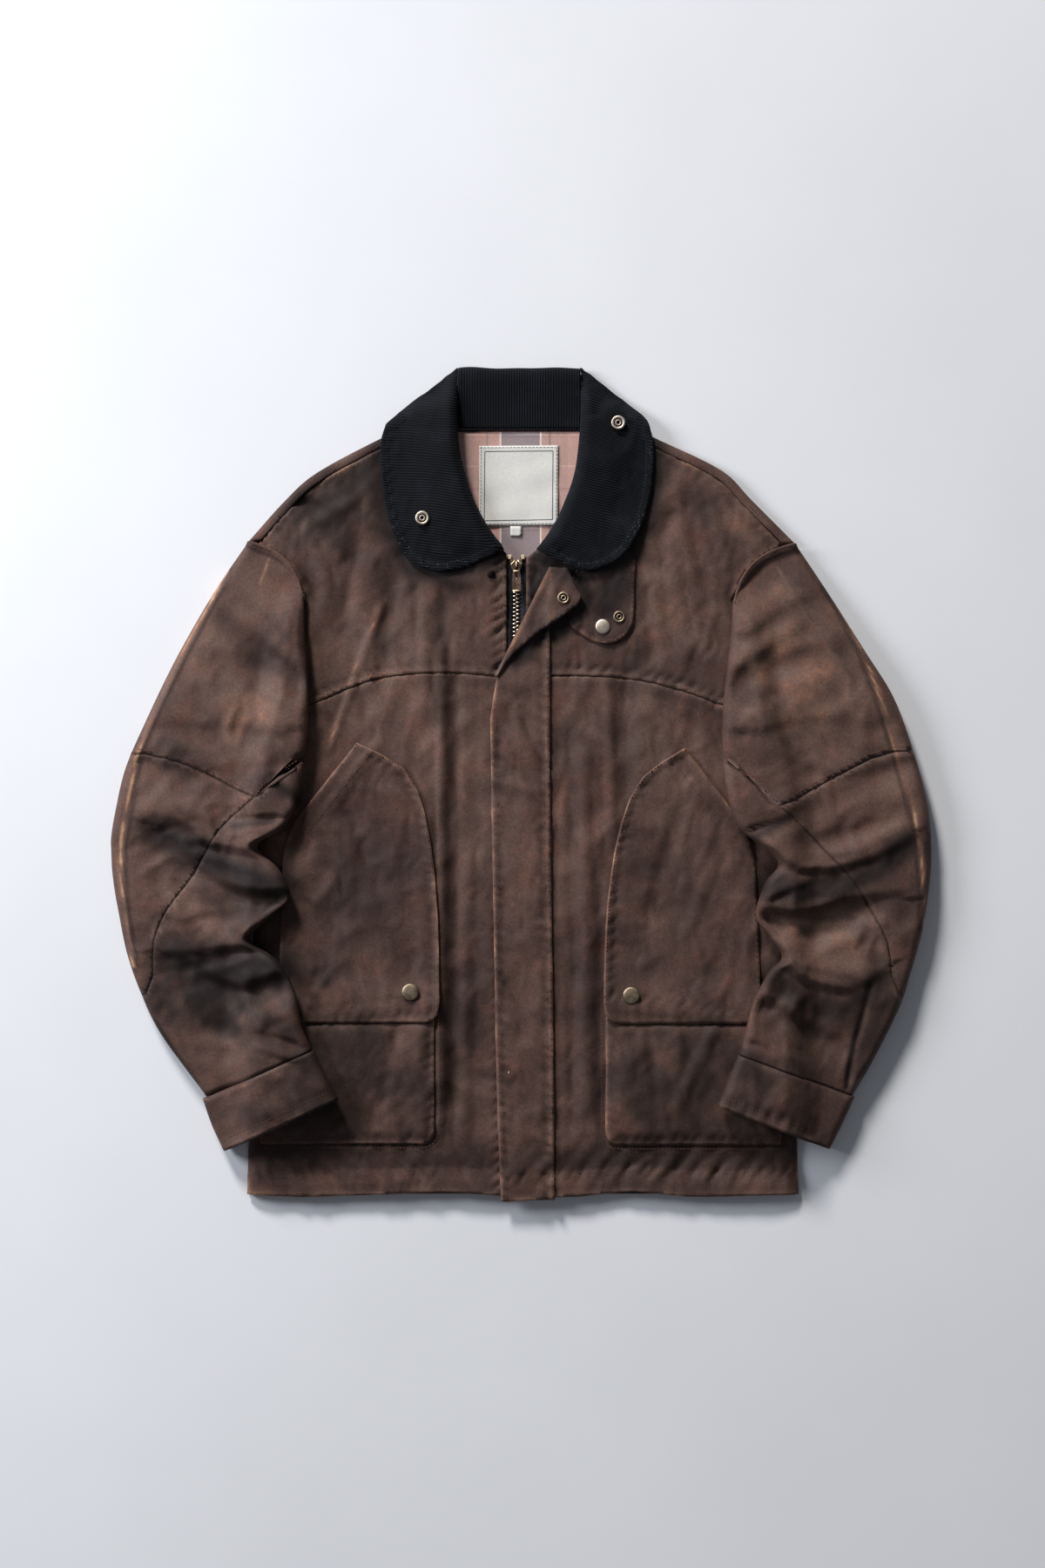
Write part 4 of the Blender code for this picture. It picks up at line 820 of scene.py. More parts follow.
def wear_wax_and_shade(x, y, loop=None, seams=(), painted_shadow=()):
    """The two patina numbers for each x, y on a panel with this outline and these seams.

    The last rows are the panel's own painted shadow: line, half width and strength. The wax number
    carries painted shade as well as patina.
    """
    wear = DRY_GAIN * patches(x, y, DRY_PATCHES, 21)
    wax_and_shade = patches(x, y, WAX_AND_SHADE_PATCHES, 23)
    for points, half_width, strength, groove in RUBBED_LINES:
        away, _ = along_path(x, y, smooth_path(points))
        uneven = 0.92 + 0.2 * wobble(x, y, 20, 22)
        wear = np.maximum(wear, strength * uneven * band(away, half_width))
        if groove:
            wax_and_shade = np.maximum(wax_and_shade, 0.6 * band(away + groove, SHADOW_LINE_WIDTH))
    for points, half_width, strength in PAINTED_SHADE_LINES + CAST_SHADOW_LINES + list(painted_shadow):
        away = nearest(x, y, smooth_path(points)) * (1 + 0.18 * wobble(x, y, 30, 26))
        wax_and_shade = np.maximum(wax_and_shade, strength * band(away, half_width))
    if loop is not None:
        edge = nearest(x, y, np.vstack([loop, loop[:1]]))
        uneven = 0.55 + 0.45 * wobble(x, y, 34, 24)
        wear = np.maximum(wear, (0.38 + 0.36 * uneven) * band(edge, 2.4))
        wax_and_shade = np.maximum(wax_and_shade, 0.3 * band(edge - 8, 6))
    for seam in seams:
        away = nearest(x, y, seam)
        uneven = 0.22 + 0.2 * wobble(x, y, 30, 25)
        wear = np.maximum(wear, uneven * band(away - 3.4, 1.8))
        wax_and_shade = np.maximum(wax_and_shade, 0.4 * band(away, 1.6))
    return {"wear": wear.clip(0, 1), "wax_and_shade": wax_and_shade.clip(0, 1)}


# %% [markdown]
# ## Making a piece of cloth
#
# A piece starts as patches of points and faces: flat cuts, and strips where the cloth rolls over.
# The wear and wax numbers, the wax with its painted shade, go on the points, and Solidify gives the wall
# its thickness. `add_cloth` also hides the node that the piece replaces, and hangs the piece on the root
# body.

# %% Building cloth
CANVAS_WALL = 1.5
WELD = 0.02              # points of two patches nearer than this are joined


def show(name, data):
    """An object at the origin that shows the mesh, lamp or camera."""
    made = bpy.data.objects.new(name, data)
    bpy.context.collection.objects.link(made)
    return made


def add_wall(made, wall, grow, even_wall=True):
    """Gives a surface its wall: grow 1 adds it on the outer side, -1 inside, 0 both ways."""
    solidify = made.modifiers.new("wall", "SOLIDIFY")
    solidify.thickness = wall * MM
    solidify.offset = grow
    solidify.use_even_offset = even_wall
    solidify.use_quality_normals = True


def mesh_of(name, sheets, look, marks=None, merge=None):
    """One mesh of millimetre points from patches of (points, faces) that share border points."""
    data = bpy.data.meshes.new(name)
    count, points, faces = 0, [], []
    for places, polygons in sheets:
        points.append(places)
        faces += [[int(i) + count for i in polygon] for polygon in polygons]
        count += len(places)
    data.from_pydata(np.vstack(points).tolist(), [], faces)
    if len(sheets) > 1 or merge:
        shape = bmesh.new()
        shape.from_mesh(data)
        bmesh.ops.remove_doubles(shape, verts=shape.verts, dist=merge or WELD)
        shape.to_mesh(data)
        shape.free()
    places = np.empty(len(data.vertices) * 3)
    data.vertices.foreach_get("co", places)
    places = places.reshape(-1, 3)
    for label, values in (marks(*places.T) if marks else {}).items():
        mark = data.attributes.new(label, "FLOAT", "POINT")
        mark.data.foreach_set("value", np.ascontiguousarray(values, dtype=np.float32))
    data.vertices.foreach_set("co", (places * MM).ravel())
    data.materials.append(look)
    data.shade_smooth()
    data.update()
    return show(name, data)


def add_cloth(name, sheets, nodes, flat, area, rests_on, wall=None, grow=1, look=None,
              slot="waxed_cotton", marks=None, merge=None):
    """A piece of cloth. flat, its pattern's width and length in mm, and area, its area, are not used."""
    made = mesh_of(name, sheets, look or CANVAS, marks, merge)
    add_wall(made, wall or CANVAS_WALL, grow, not merge)
    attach(made, "root")
    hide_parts(*nodes)
    return made


def cut_patch(loop, height, spacing):
    """A flat-cut shape: its outline filled on the shared lattice, and laid at height(x, y)."""
    low, high = loop.min(0), loop.max(0)
    row_height = spacing * math.sqrt(3) / 2
    rows = np.arange(math.floor(low[1] / row_height), math.ceil(high[1] / row_height) + 1)
    columns = np.arange(math.floor(low[0] / spacing) - 1, math.ceil(high[0] / spacing) + 1)
    column, row = np.meshgrid(columns, rows)
    x = (column * spacing + np.where(row % 2, spacing / 2, 0)).ravel()
    y = (row * row_height).ravel()
    keep = inside(x, y, loop) & (nearest(x, y, np.vstack([loop, loop[:1]])) > 0.45 * spacing)
    flat = [Vector(point) for point in loop] + [Vector(point) for point in zip(x[keep], y[keep])]
    filled = geometry.delaunay_2d_cdt(flat, [], [list(range(len(loop)))], 1, 1e-4)
    places = np.array([tuple(point) for point in filled[0]])
    z = height(places[:, 0], places[:, 1])
    faces = np.array([face[:3] for face in filled[2]])
    a, b, c = (places[faces[:, i]] for i in range(3))
    turn = (b[:, 0] - a[:, 0]) * (c[:, 1] - a[:, 1]) - (b[:, 1] - a[:, 1]) * (c[:, 0] - a[:, 0])
    faces[turn < 0] = faces[turn < 0][:, ::-1]
    return np.column_stack([places, z]), faces.tolist()


def strip_patch(rows, closed=False):
    """Faces through rows that have the same number of points."""
    count = len(rows[0])
    last = count if closed else count - 1
    faces = [(i * count + k, (i + 1) * count + k, (i + 1) * count + (k + 1) % count,
              i * count + (k + 1) % count) for i in range(len(rows) - 1) for k in range(last)]
    return np.vstack(rows), faces


def loop_area(loop):
    x, y = np.array(loop).T
    return 0.5 * abs(np.dot(x, np.roll(y, -1)) - np.dot(y, np.roll(x, -1)))


# %% [markdown]
# ## Edges, hems and puckers
#
# A sewn edge is folded under and stitched down, so a band beside it is thicker. The thread draws
# the cloth in, which leaves a row of small hollows along the stitches: puckers. A table of edges has
# one row for each, and `edge_relief` adds them all up.

# %% Edge relief
PUCKER_STEP = 11.0       # from one pucker to the next, in a band up to WIDE_BAND
WIDE_BAND = 9.0
PUCKER_LEAN = 0.7        # how far a pucker leans along the seam for each mm away from it
PUCKER_GAIN = 1.5        # what the depths in a table of edges are multiplied by
BAND_EDGE = 3.0          # the folded band ends over this length


def pucker_beat(run, lean, step, size, seed):
    """0 to 1 once every step of a seam's run, a little uneven over size mm."""
    beat = 2 * np.pi * (run + lean) / step + 1.8 * wobble(run, 0 * run, size, seed)
    return 0.5 + 0.5 * np.sin(beat)


def edge_relief(x, y, edges):
    """Height from sewn edges. Rows: path; band width, rise; pucker depth, reach; seed."""
    total = np.zeros(np.shape(x))
    for path, width, rise, depth, reach, seed in edges:
        away, run = along_path(x, y, path)
        away = abs(away)
        total += rise * ease((width + BAND_EDGE / 2 - away) / BAND_EDGE)
        step = PUCKER_STEP * max(1, reach / WIDE_BAND)
        uneven = 0.7 if step > PUCKER_STEP else 0.3
        strength = 1.0 + uneven * wobble(run, 0 * run, 4 * step, seed + 1)
        hollow = pucker_beat(run, PUCKER_LEAN * away, step, 5 * step, seed) * strength
        total -= PUCKER_GAIN * depth * hollow * band(away - width, reach)
    return total


def lay_panel(name, loop, under, node, rests_on, edges=(), seams=(), spacing=None, lines=(),
              painted_shadow=(), **more):
    """A flat-cut piece of canvas, with its sewn edges and its patina."""
    spacing = spacing or FINE

    def height(x, y):
        return under(x, y) + edge_relief(x, y, edges)

    def marks(x, y, z):
        return wear_wax_and_shade(x, y, loop, seams, painted_shadow)

    wide, long = np.ptp(loop, axis=0)
    made = add_cloth(name, [cut_patch(finer(loop, spacing), height, spacing)], [node], (wide, long),
                     loop_area(loop), rests_on, marks=marks, **more)
    wall = more.get("wall") or CANVAS_WALL
    for path, shift in lines:
        sew(offset(path, shift), lambda x, y: height(x, y) + wall)
    print(name, len(made.data.polygons), "faces, pattern", round(wide), "by", round(long), "mm")
    return made


# %% [markdown]
# Stitches are made at the end, all together. Until then each seam only leaves its line here, with
# the height of the cloth under it.

# %% Lines of stitches
STITCH_LINES = {"canvas": [], "corduroy": [], "label": [], "seam": [], "collar_seam": []}
STITCH_PITCH = 3.4


def sew(path, height, kind="canvas"):
    """Keeps a line of stitches along a path, lying on height(x, y)."""
    path = even(path, STITCH_PITCH)
    z = height(path[:, 0], path[:, 1])
    STITCH_LINES[kind].append(np.column_stack([path, z]))


# %% [markdown]
# ## The back and the lining
#
# The back is the piece that everything lies on. It shows only where it rolls forward over the
# shoulders to the shoulder seam, and below the front hems. The rolls are half-round strips.

# %% Back and lining
def roll_rows(feet, inward, radius, base, steps=8):
    """Rows of a half-round fold along feet: from below, at radius inward, round to the top."""
    rows = []
    for foot, way, z in zip(feet, inward, base):
        turn = np.linspace(0, math.pi, steps + 1)
        plan = foot + way * (radius - radius * np.sin(turn))[:, None]
        rows.append(np.column_stack([plan, z + radius - radius * np.cos(turn)]))
    return rows


ARMHOLE_GAP = SEAM + 0.2


def armhole_run(side, beyond, clear):
    """The body's edge at the armhole, a gap from the sleeve, and more than clear from beyond."""
    run = armhole_points(side, ARMHOLE_GAP)
    return run[np.linalg.norm(run - beyond, axis=1) > clear]


SLANT = 0.95             # how much the fold's end slants towards the armhole
SLANT_REACH = 40.0       # and over what length
BACK_PATTERN = (506, 728)
ROLLS_AREA = 2 * 230 * 18    # the two shoulder rolls: 230 mm long, 18 mm round


def shoulder_feet(side, spacing=20):
    """Points along the shoulder fold, the way inwards, and the slant that meets the armhole."""
    line = even(smooth_path(SHOULDER[side]), spacing)
    along, left = leftward(line)
    from_tip = np.linalg.norm(line - line[-1], axis=1)
    slant = SLANT * np.clip(1 - from_tip / SLANT_REACH, 0, 1)
    line[-1] -= along[-1]
    return line, FLIP[side] * left - along * slant[:, None]


def make_back():
    radius = (FRONT_Z + CLOTH) / 2
    sheets, edges = [], {}
    for side in "rl":
        feet, inward = shoulder_feet(side, 5)
        rows = roll_rows(feet, inward, radius, np.zeros(len(feet)))
        seam = feet + inward * (SHOULDER_WRAP - SEAM)
        top = [np.column_stack([np.linspace(row[-1, :2], end, 3)[1:], [2 * radius] * 2])
               for row, end in zip(rows, seam)]
        rows = [np.vstack([row, more]) for row, more in zip(rows, top)]
        sheets.append(strip_patch(rows if side == "l" else rows[::-1]))
        flat_edge = np.array([row[0, :2] for row in rows])
        tip = armhole_run(side, flat_edge[-1], 3)
        edges[side] = np.vstack([flat_edge, tip, even(BODY_EDGE[side], 6)[1:]])
    neck = even([(68, 325), (-70, 325)], 12)
    hem = even([edges["r"][-1], edges["l"][-1]], 6)
    loop = outline(edges["r"], hem, edges["l"][::-1], neck)
    sheets.append(cut_patch(loop, lambda x, y: 0 * x, COARSE))       # the back lies on the floor
    made = add_cloth("back_cloth", sheets, ["back_panel"], BACK_PATTERN, loop_area(loop) + ROLLS_AREA,
                     "floor", wall=CLOTH, marks=lambda x, y, z: wear_wax_and_shade(x, y))
    print("back", len(made.data.polygons), "faces")


make_back()

LINING_LOOP = np.array([(-62, 323), (-62, 186), (60, 186), (60, 323)], float)


def lining_under(x, y):
    """The lining lies on the back, a little loose under the label."""
    return CLOTH + SEAM + 0.25 * (1 + wobble(x, y, 44, 31))


lay_panel("back_neck_lining", LINING_LOOP, lining_under, "back_lining", "back_cloth",
          spacing=4, wall=LINING, look=CHECK, slot="check_lining")


# %% [markdown]
# ## Fronts and yokes
#
# The yoke is sewn over the front with two rows of stitches. Down the middle, the right front's edge
# is folded beside the zip, and the left front's is hidden under the storm flap.

# %% Fronts and yokes
HEM_BAND = 21.0
SEAM_BAND = 5.6


def yoke_bottom(side, shift):
    """The yoke seam, carried on under the sleeve to the armhole."""
    seam = smooth_path(YOKE_SEAM[side])
    edge = BODY_EDGE[side][np.abs(BODY_EDGE[side][:, 1] - 66).argmin()]
    run = even(np.vstack([edge, seam]), 12)
    return run + np.array([0, shift])


# Painted shadow on the left yoke beside the zip, shaded by the turned-back corner and the collar, and
# under the leaf: line; half width; strength.
SHADOW_BESIDE_ZIP = {"r": (), "l": [([(13, 152), (19, 210)], 15.0, 1.0),
                             ([(64, 214), (66, 176), (84, 140)], 12.0, 0.9)]}
EDGE_FOLD = 5.6          # the stitches down the right front's folded edge


def make_yoke(side):
    feet, inward = shoulder_feet(side)
    shoulder = feet + inward * SHOULDER_WRAP
    armhole = armhole_run(side, shoulder[-1], 5)[1:]
    bottom = yoke_bottom(side, SEAM / 2)
    under = BODY_EDGE[side]
    under = under[(under[:, 1] > bottom[0, 1] + 4) & (under[:, 1] < armhole[-1, 1] - 3)]
    front = even([bottom[-1], NECK_EDGE[side][-1]], OUTLINE_STEP)
    neck = even(smooth_path(NECK_EDGE[side][::-1]), 14)
    loop = outline(shoulder, armhole, under, bottom, front, neck)
    flip = FLIP[side]
    edges = [(bottom, SEAM_BAND, 0.7, 0.9, 4.5, 40), (shoulder, 3, 0.4, 0.35, 5, 41),
             (armhole, 3, 0.3, 0.35, 6, 42), (front, 7, 0.4, 2.0, 6, 43)]
    lines = [(bottom, flip * SEAM_BAND), (shoulder, -flip * 3.0)]
    if side == "r":
        lines.append((front, EDGE_FOLD))
    lay_panel("yoke_cloth_" + side, loop, front_under, "yoke_" + side, "back_cloth", edges,
              lines=lines, seams=[bottom, shoulder], painted_shadow=SHADOW_BESIDE_ZIP[side])
    for seam, shift, sunk in ((bottom, -0.4, 0.1), (shoulder, 0.3, 0.2)):
        sew(offset(seam, flip * shift), lambda x, y: front_under(x, y) + CANVAS_WALL - sunk, "seam")


def make_front(side):
    top = yoke_bottom(side, -SEAM / 2)
    sides = BODY_EDGE[side]
    sides = even(np.vstack([top[0], sides[sides[:, 1] < top[0, 1] - 6]]), OUTLINE_STEP)
    hem = even(smooth_path(HEM[side]), OUTLINE_STEP)
    front = even([(HEM[side][-1][0], hem[-1, 1]), top[-1]], OUTLINE_STEP)
    loop = outline(sides, hem, front, top[::-1])
    edges = [(top, 0, 0.0, 0.2, 7, 44), (hem, HEM_BAND, 0.9, 1.0, 6, 45),
             (hem, 28.0, 0.0, 1.2, 17, 46), (front, 6, 0.4, 1.2, 5.5, 47)]
    lines = [(hem, FLIP[side] * HEM_BAND)]
    if side == "r":
        lines.append((front, EDGE_FOLD))
    lay_panel("front_cloth_" + side, loop, front_under, "front_" + side, "back_cloth", edges,
              lines=lines, seams=[top])


for side in "rl":
    make_yoke(side)
    make_front(side)


# %% [markdown]
# ## Storm flap
#
# A strip that closes over the zip, sewn down along one edge. Its free top corner is folded back on
# itself, so its inner side shows there.

# %% Storm flap
FLAP_LIFT = 4.0          # the turned corner springs up this far
FLAP_PATTERN = (60, 640)
FOLD_FADE = 12.0         # relief starts this far from the fold


def make_storm_flap():
    fold = even(TURN_FOLD, 3)
    along = (fold[-1] - fold[0]) / np.linalg.norm(fold[-1] - fold[0])
    inward = np.tile([along[1], -along[0]], (len(fold), 1))
    flat_edge = fold + inward * FLAP_TURN
    sewn = even(smooth_path(FLAP_SEWN[::-1]), 16)
    free_edge = even(smooth_path(FLAP_FREE[:-1]), 16)
    bottom = np.array([sewn[-1], free_edge[0]])
    edges = [(sewn, SEAM_BAND, 0.7, 1.1, 4.5, 51), (free_edge, SEAM_BAND, 0.6, 1.1, 4.5, 52),
             (bottom, HEM_BAND, 0.5, 0.9, 6, 53), (bottom, 26.0, 0.0, 1.0, 14, 55)]

    def main_height(x, y):
        fade = ease((nearest(x, y, flat_edge) - 1) / FOLD_FADE)
        return storm_under(x, y) + edge_relief(x, y, edges) * fade

    base = main_height(flat_edge[:, 0], flat_edge[:, 1])
    rows = roll_rows(fold, inward, FLAP_TURN, base, 6)
    main = outline(free_edge, flat_edge, sewn, [FLAP_FREE[0]])
    free = even(smooth_path(TURN_EDGE[::-1] + [tuple(flat_edge[0])]), 10)
    turned_loop = outline(flat_edge, free)
    top_edges = [(free, 5.0, 0.3, 0.4, 6, 54)]

    def turned_height(x, y):
        away = nearest(x, y, flat_edge)
        relief = edge_relief(x, y, top_edges) + FLAP_LIFT * ease(away / 34)
        return storm_under(x, y) + 2 * FLAP_TURN + relief * ease((away - 1) / FOLD_FADE)

    top = cut_patch(finer(turned_loop, FINE), turned_height, FINE)
    top = (top[0], [face[::-1] for face in top[1]])
    sheets = [cut_patch(finer(main, FINE), main_height, FINE), strip_patch(rows), top]
    made = add_cloth("storm_flap_cloth", sheets, ["storm_flap"], FLAP_PATTERN,
                     loop_area(main) + loop_area(turned_loop), "front_cloth_l",
                     marks=lambda x, y, z: wear_wax_and_shade(x, y, main, [sewn]))
    print("storm flap", len(made.data.polygons), "faces")
    for path, shift in ((sewn, SEAM_BAND), (sewn, 1.8), (free_edge, SEAM_BAND), (bottom, HEM_BAND)):
        sew(offset(path, -shift), lambda x, y: main_height(x, y) + CANVAS_WALL)


make_storm_flap()


# %% [markdown]
# ## Pockets and throat latch
#
# Each front has a hand-warmer patch, open along its slanted edge, over a bellows bag that stands
# off the front. The patch's lower edge is the bag's flap, held by a snap.

# %% Pockets
BAG_CORNER = 12.0
OPENING_HEM = 16.0
FLAP_HEM = 6.0
RIM = 4.0


def make_pocket(side):
    sign = -FLIP[side]
    patch = pocket_outline(side)
    front = smooth_path(POCKET_FRONT[side])
    opening = np.array([POCKET_BACK[side][-1], POCKET_FRONT[side][0]], float)
    lower = np.array([POCKET_BACK[side][0], POCKET_FRONT[side][-1]], float)
    edges = [(front, SEAM_BAND, 0.9, 0.8, 4.5, 61), (front, 2.5, 0.6, 0.0, 6, 65),
             (opening, OPENING_HEM, 0.7, 0.5, 5, 62), (lower, FLAP_HEM, 0.7, 0.6, 5, 63)]
    lines = [(front, sign * SEAM_BAND), (front, sign * 1.8), (opening, sign * OPENING_HEM),
             (lower, -sign * FLAP_HEM)]
    lay_panel("pocket_flap_cloth_" + side, patch, pocket_under, "pocket_flap_" + side,
              "front_cloth_" + side, edges, lines=lines)
    bag = POCKET_BAG[side]
    low, high = bag["bottom"], bag["top"]
    turn = np.linspace(0, math.pi / 2, 6)
    round_corner = np.stack([bag["inner"] + sign * BAG_CORNER * (1 - np.sin(turn)),
                             low + BAG_CORNER * (1 - np.cos(turn))], axis=1)
    foot, head, back = (bag["outer"], low), (bag["inner"], high), (bag["outer"], high)
    stretches = ((back, foot), (foot, round_corner[0]), (round_corner[-1], head), (head, back))
    runs = [even(stretch, 14) for stretch in stretches]
    rim = np.vstack([[foot], round_corner, [head]])
    lay_panel("pocket_bag_cloth_" + side, outline(*runs[:2], round_corner, *runs[2:]), bag_under,
              "pocket_bag_" + side, "front_cloth_" + side, [(rim, RIM, 0.3, 0.5, 7, 64)],
              lines=[(rim, sign * RIM)])


for side in "rl":
    make_pocket(side)


LATCH_BAND = 5.0
LATCH_LOOP = outline(even(smooth_path(LATCH + LATCH[:1], 4), 5))
LATCH_EDGE = np.vstack([LATCH_LOOP, LATCH_LOOP[:1]])
# The latch's upper part carries painted shadow from the left leaf and the turned-back corner.
lay_panel("throat_latch_cloth", LATCH_LOOP, storm_under, "throat_latch", "yoke_cloth_l",
          [(LATCH_EDGE, LATCH_BAND, -0.5, 0.3, 5, 66)], spacing=2.5, wall=2.2,
          lines=[(LATCH_EDGE, -LATCH_BAND)],
          painted_shadow=[([(66, 206), (92, 196), (80, 166)], 22.0, 1.0)])


# %% [markdown]
# ## Sleeves and cuffs
#
# A sleeve that lies flat is a tube pressed nearly shut. Each row of the table is one section across
# it: where its two edges are, how high it stands and how far its line bows. Rings go round every
# section, and the folds of the elbow lower and raise their upper side.
#
# The sleeve is cut from three pieces: head, elbow panel and forearm. To part the tube along its
# seams, the points nearest to a seam are first moved on to it, so that no face crosses it.

# %% Sleeve tubes
# Start x, y; end x, y; half width; height.
SLEEVE_WRINKLES = {
    "r": [(-232, -62, -300, -56, 7, -1.6), (-216, -88, -290, -64, 8, 1.2),
          (-238, -150, -310, -170, 8, -1.4), (-226, -128, -300, -122, 8, -1.2),
          (-206, -120, -270, -112, 8, 1.1),
          (-198, 60, -250, 84, 9, -1.2), (-200, 96, -268, 128, 10, 1.2), (-206, 18, -300, 4, 9, -0.9),
          (-290, 30, -340, -20, 10, 0.9), (-280, -176, -330, -196, 9, -1.0),
          (-200, -206, -250, -236, 8, -1.4), (-232, -200, -290, -262, 8, 1.0),
          (-308, -230, -296, -278, 4, -2.4)],
    "l": [(232, -74, 300, -66, 7, -1.6), (218, -100, 290, -78, 8, 1.2),
          (238, -166, 310, -182, 8, -1.4),
          (226, -142, 300, -134, 8, -1.2), (212, -134, 270, -126, 8, 1.1), (186, 60, 240, 84, 9, -1.2),
          (188, 96, 256, 128, 10, 1.2), (194, 18, 290, 4, 9, -0.9), (284, 30, 340, -20, 10, 0.9),
          (290, -190, 330, -210, 9, -1.0), (208, -214, 256, -246, 8, -1.4),
          (320, -182, 305, -238, 5, -2.6), (305, -238, 298, -281, 5, -2.4),
          (262, -200, 300, -262, 8, 1.0)]}
FULLNESS = 5.0           # air in the sleeve
ARM_ROUND = 2.5          # more height along the middle
ARMHOLE_EASE = 2.5       # the sleeve fills with air over this many sections from the armhole
LOW_POINTS = 10          # points below, across a section
ELBOW_GAIN = 1.8         # what the heights of the elbow folds are multiplied by
RIM_EASE = 9.0           # elbow folds end this far from the sleeve's edges
LEAST_HEIGHT = 4.2       # two walls and a little air
# The folds of the bent elbow. Path; half width; height; how much of it is left at each end.
ELBOW_FOLDS = {
    "r": [([(-335, -33), (-303, -35), (-280, -52), (-241, -58)], 24, 5.0, 0.3, 1.0),
          ([(-327, -48), (-294, -85), (-250, -104), (-208, -104)], 26, -6.0, 0.3, 1.0),
          ([(-330, -152), (-300, -149), (-270, -145), (-240, -143)], 24, 5.0, 0.2, 1.0),
          ([(-318, -160), (-285, -182), (-250, -190), (-212, -176)], 26, -5.5, 0.2, 0.9),
          ([(-258, -32), (-222, -30)], 10, -2.0, 0.3, 1.0),
          ([(-224, 2), (-204, -20)], 10, -2.4, 0.5, 1.0),
          ([(-244, -224), (-204, -236)], 10, -1.8, 0.2, 1.0),
          ([(-250, -236), (-206, -250)], 9, 1.4, 0.2, 1.0),
          ([(-288, 158), (-246, 130), (-200, 92)], 26, -4.0, 0.2, 1.0),
          ([(-292, 190), (-246, 172), (-204, 132)], 24, 2.6, 0.2, 0.8),
          ([(-330, 62), (-280, 60), (-216, 52)], 26, 2.2, 0.4, 0.8),
          ([(-344, 20), (-300, 8), (-250, 14)], 22, -2.4, 0.8, 0.2),
          ([(-338, -206), (-322, -236), (-304, -270)], 5, -2.6, 0.2, 1.0)],
    "l": [([(233, -66), (268, -74), (311, -66), (354, -46)], 24, 5.0, 1.0, 0.3),
          ([(212, -120), (260, -124), (297, -112), (346, -106)], 26, -6.0, 1.0, 0.3),
          ([(214, -107), (262, -88)], 8, 2.0, 1.0, 0.2),
          ([(238, -159), (267, -176), (297, -182), (330, -168)], 24, 4.6, 1.0, 0.3),
          ([(213, -196), (254, -222), (290, -238)], 26, -4.6, 1.0, 0.3),
          ([(210, -41), (244, -31)], 8, -2.2, 1.0, 0.2),
          ([(198, -231), (226, -241)], 8, -2.0, 1.0, 0.2),
          ([(200, 96), (246, 126), (290, 150)], 30, -2.8, 1.0, 0.2),
          ([(204, 140), (246, 168), (288, 188)], 24, 2.6, 0.8, 0.2),
          ([(210, 52), (272, 66), (324, 60)], 26, 2.4, 0.8, 0.4),
          ([(240, 20), (300, 2), (352, 20)], 22, -2.2, 0.2, 0.8)]}


def tube_grid(table, from_armhole, steps, across=40, around=4):
    """A flattened tube's points: where each is in plan, and what its height depends on.

    Each section has LOW_POINTS below, around points at each edge, and across points above.
    """
    sections = smooth_path(table, steps)
    plan, level, share, height, rim = [], [], [], [], []
    for ox, oy, ix, iy, tall, bow in sections:
        outer, inner = np.array([ox, oy]), np.array([ix, iy])
        width = np.linalg.norm(inner - outer)
        along = (inner - outer) / width
        across_way = np.array([-along[1], along[0]])
        across_way *= np.sign(across_way[1]) or 1
        radius = tall / 2
        turn = np.linspace(-math.pi / 2, math.pi / 2, around + 2)[1:-1]
        below = np.linspace(radius, width - radius, LOW_POINTS)
        above = np.linspace(width - radius, radius, across)
        place = np.r_[below, width - radius + radius * np.cos(turn), above,
                      radius - radius * np.cos(turn)]
        level.append(np.r_[0 * below, 0.5 + 0.5 * np.sin(turn), 0 * above + 1,
                           0.5 - 0.5 * np.sin(turn)])
        bowed = across_way * (bow * np.sin(np.pi * place / width))[:, None]
        plan.append(outer + along * place[:, None] + bowed)
        share.append(np.clip(place / width, 0, 1))
        height.append(np.full(len(place), tall))
        rim.append(np.minimum(place, width - place).clip(0))
    number = np.arange(len(sections))[:, None]
    away = ease(number / (ARMHOLE_EASE * steps)) if from_armhole else np.ones(np.shape(number))
    return (np.array(plan), np.array(level), np.array(share), np.array(height),
            away * np.ones(np.shape(share)), np.array(rim))


def tube_heights(side, grid, seams=()):
    """How high each point of the tube is."""
    plan, level, share, height, away, rim = grid
    x, y = plan[..., 0], plan[..., 1]
    climb = sleeve_climb(x, y, side)
    middle = np.sin(np.pi * share).clip(0)
    folds = fold_height(x, y, SLEEVE_FOLDS[side]) + fold_height(x, y, SLEEVE_WRINKLES[side])
    rough = 0.7 * wobble(x, y, 60, 71) + 1.3 * creases(x, y, 50, 72) + 0.5 * creases(x, y, 22, 75)
    folds = folds + rough * away
    top = (height + FULLNESS * away) * (1 - (0.5 - 0.4 * away) * climb) + ARM_ROUND * away * middle
    elbow = ELBOW_GAIN * path_folds(x, y, ELBOW_FOLDS[side])
    top = top + folds * np.sqrt(middle) + elbow * ease(rim / RIM_EASE)
    for path, depth, seed in seams:
        away_from, run = along_path(x, y, path)
        groove = 0.3 * band(away_from, 2.0)
        beat = pucker_beat(run, 0, PUCKER_STEP, 50, seed)
        top = top - groove - depth * beat * band(away_from, 7) * middle
    return sleeve_under(x, y, side) + level * np.maximum(top, LEAST_HEIGHT)


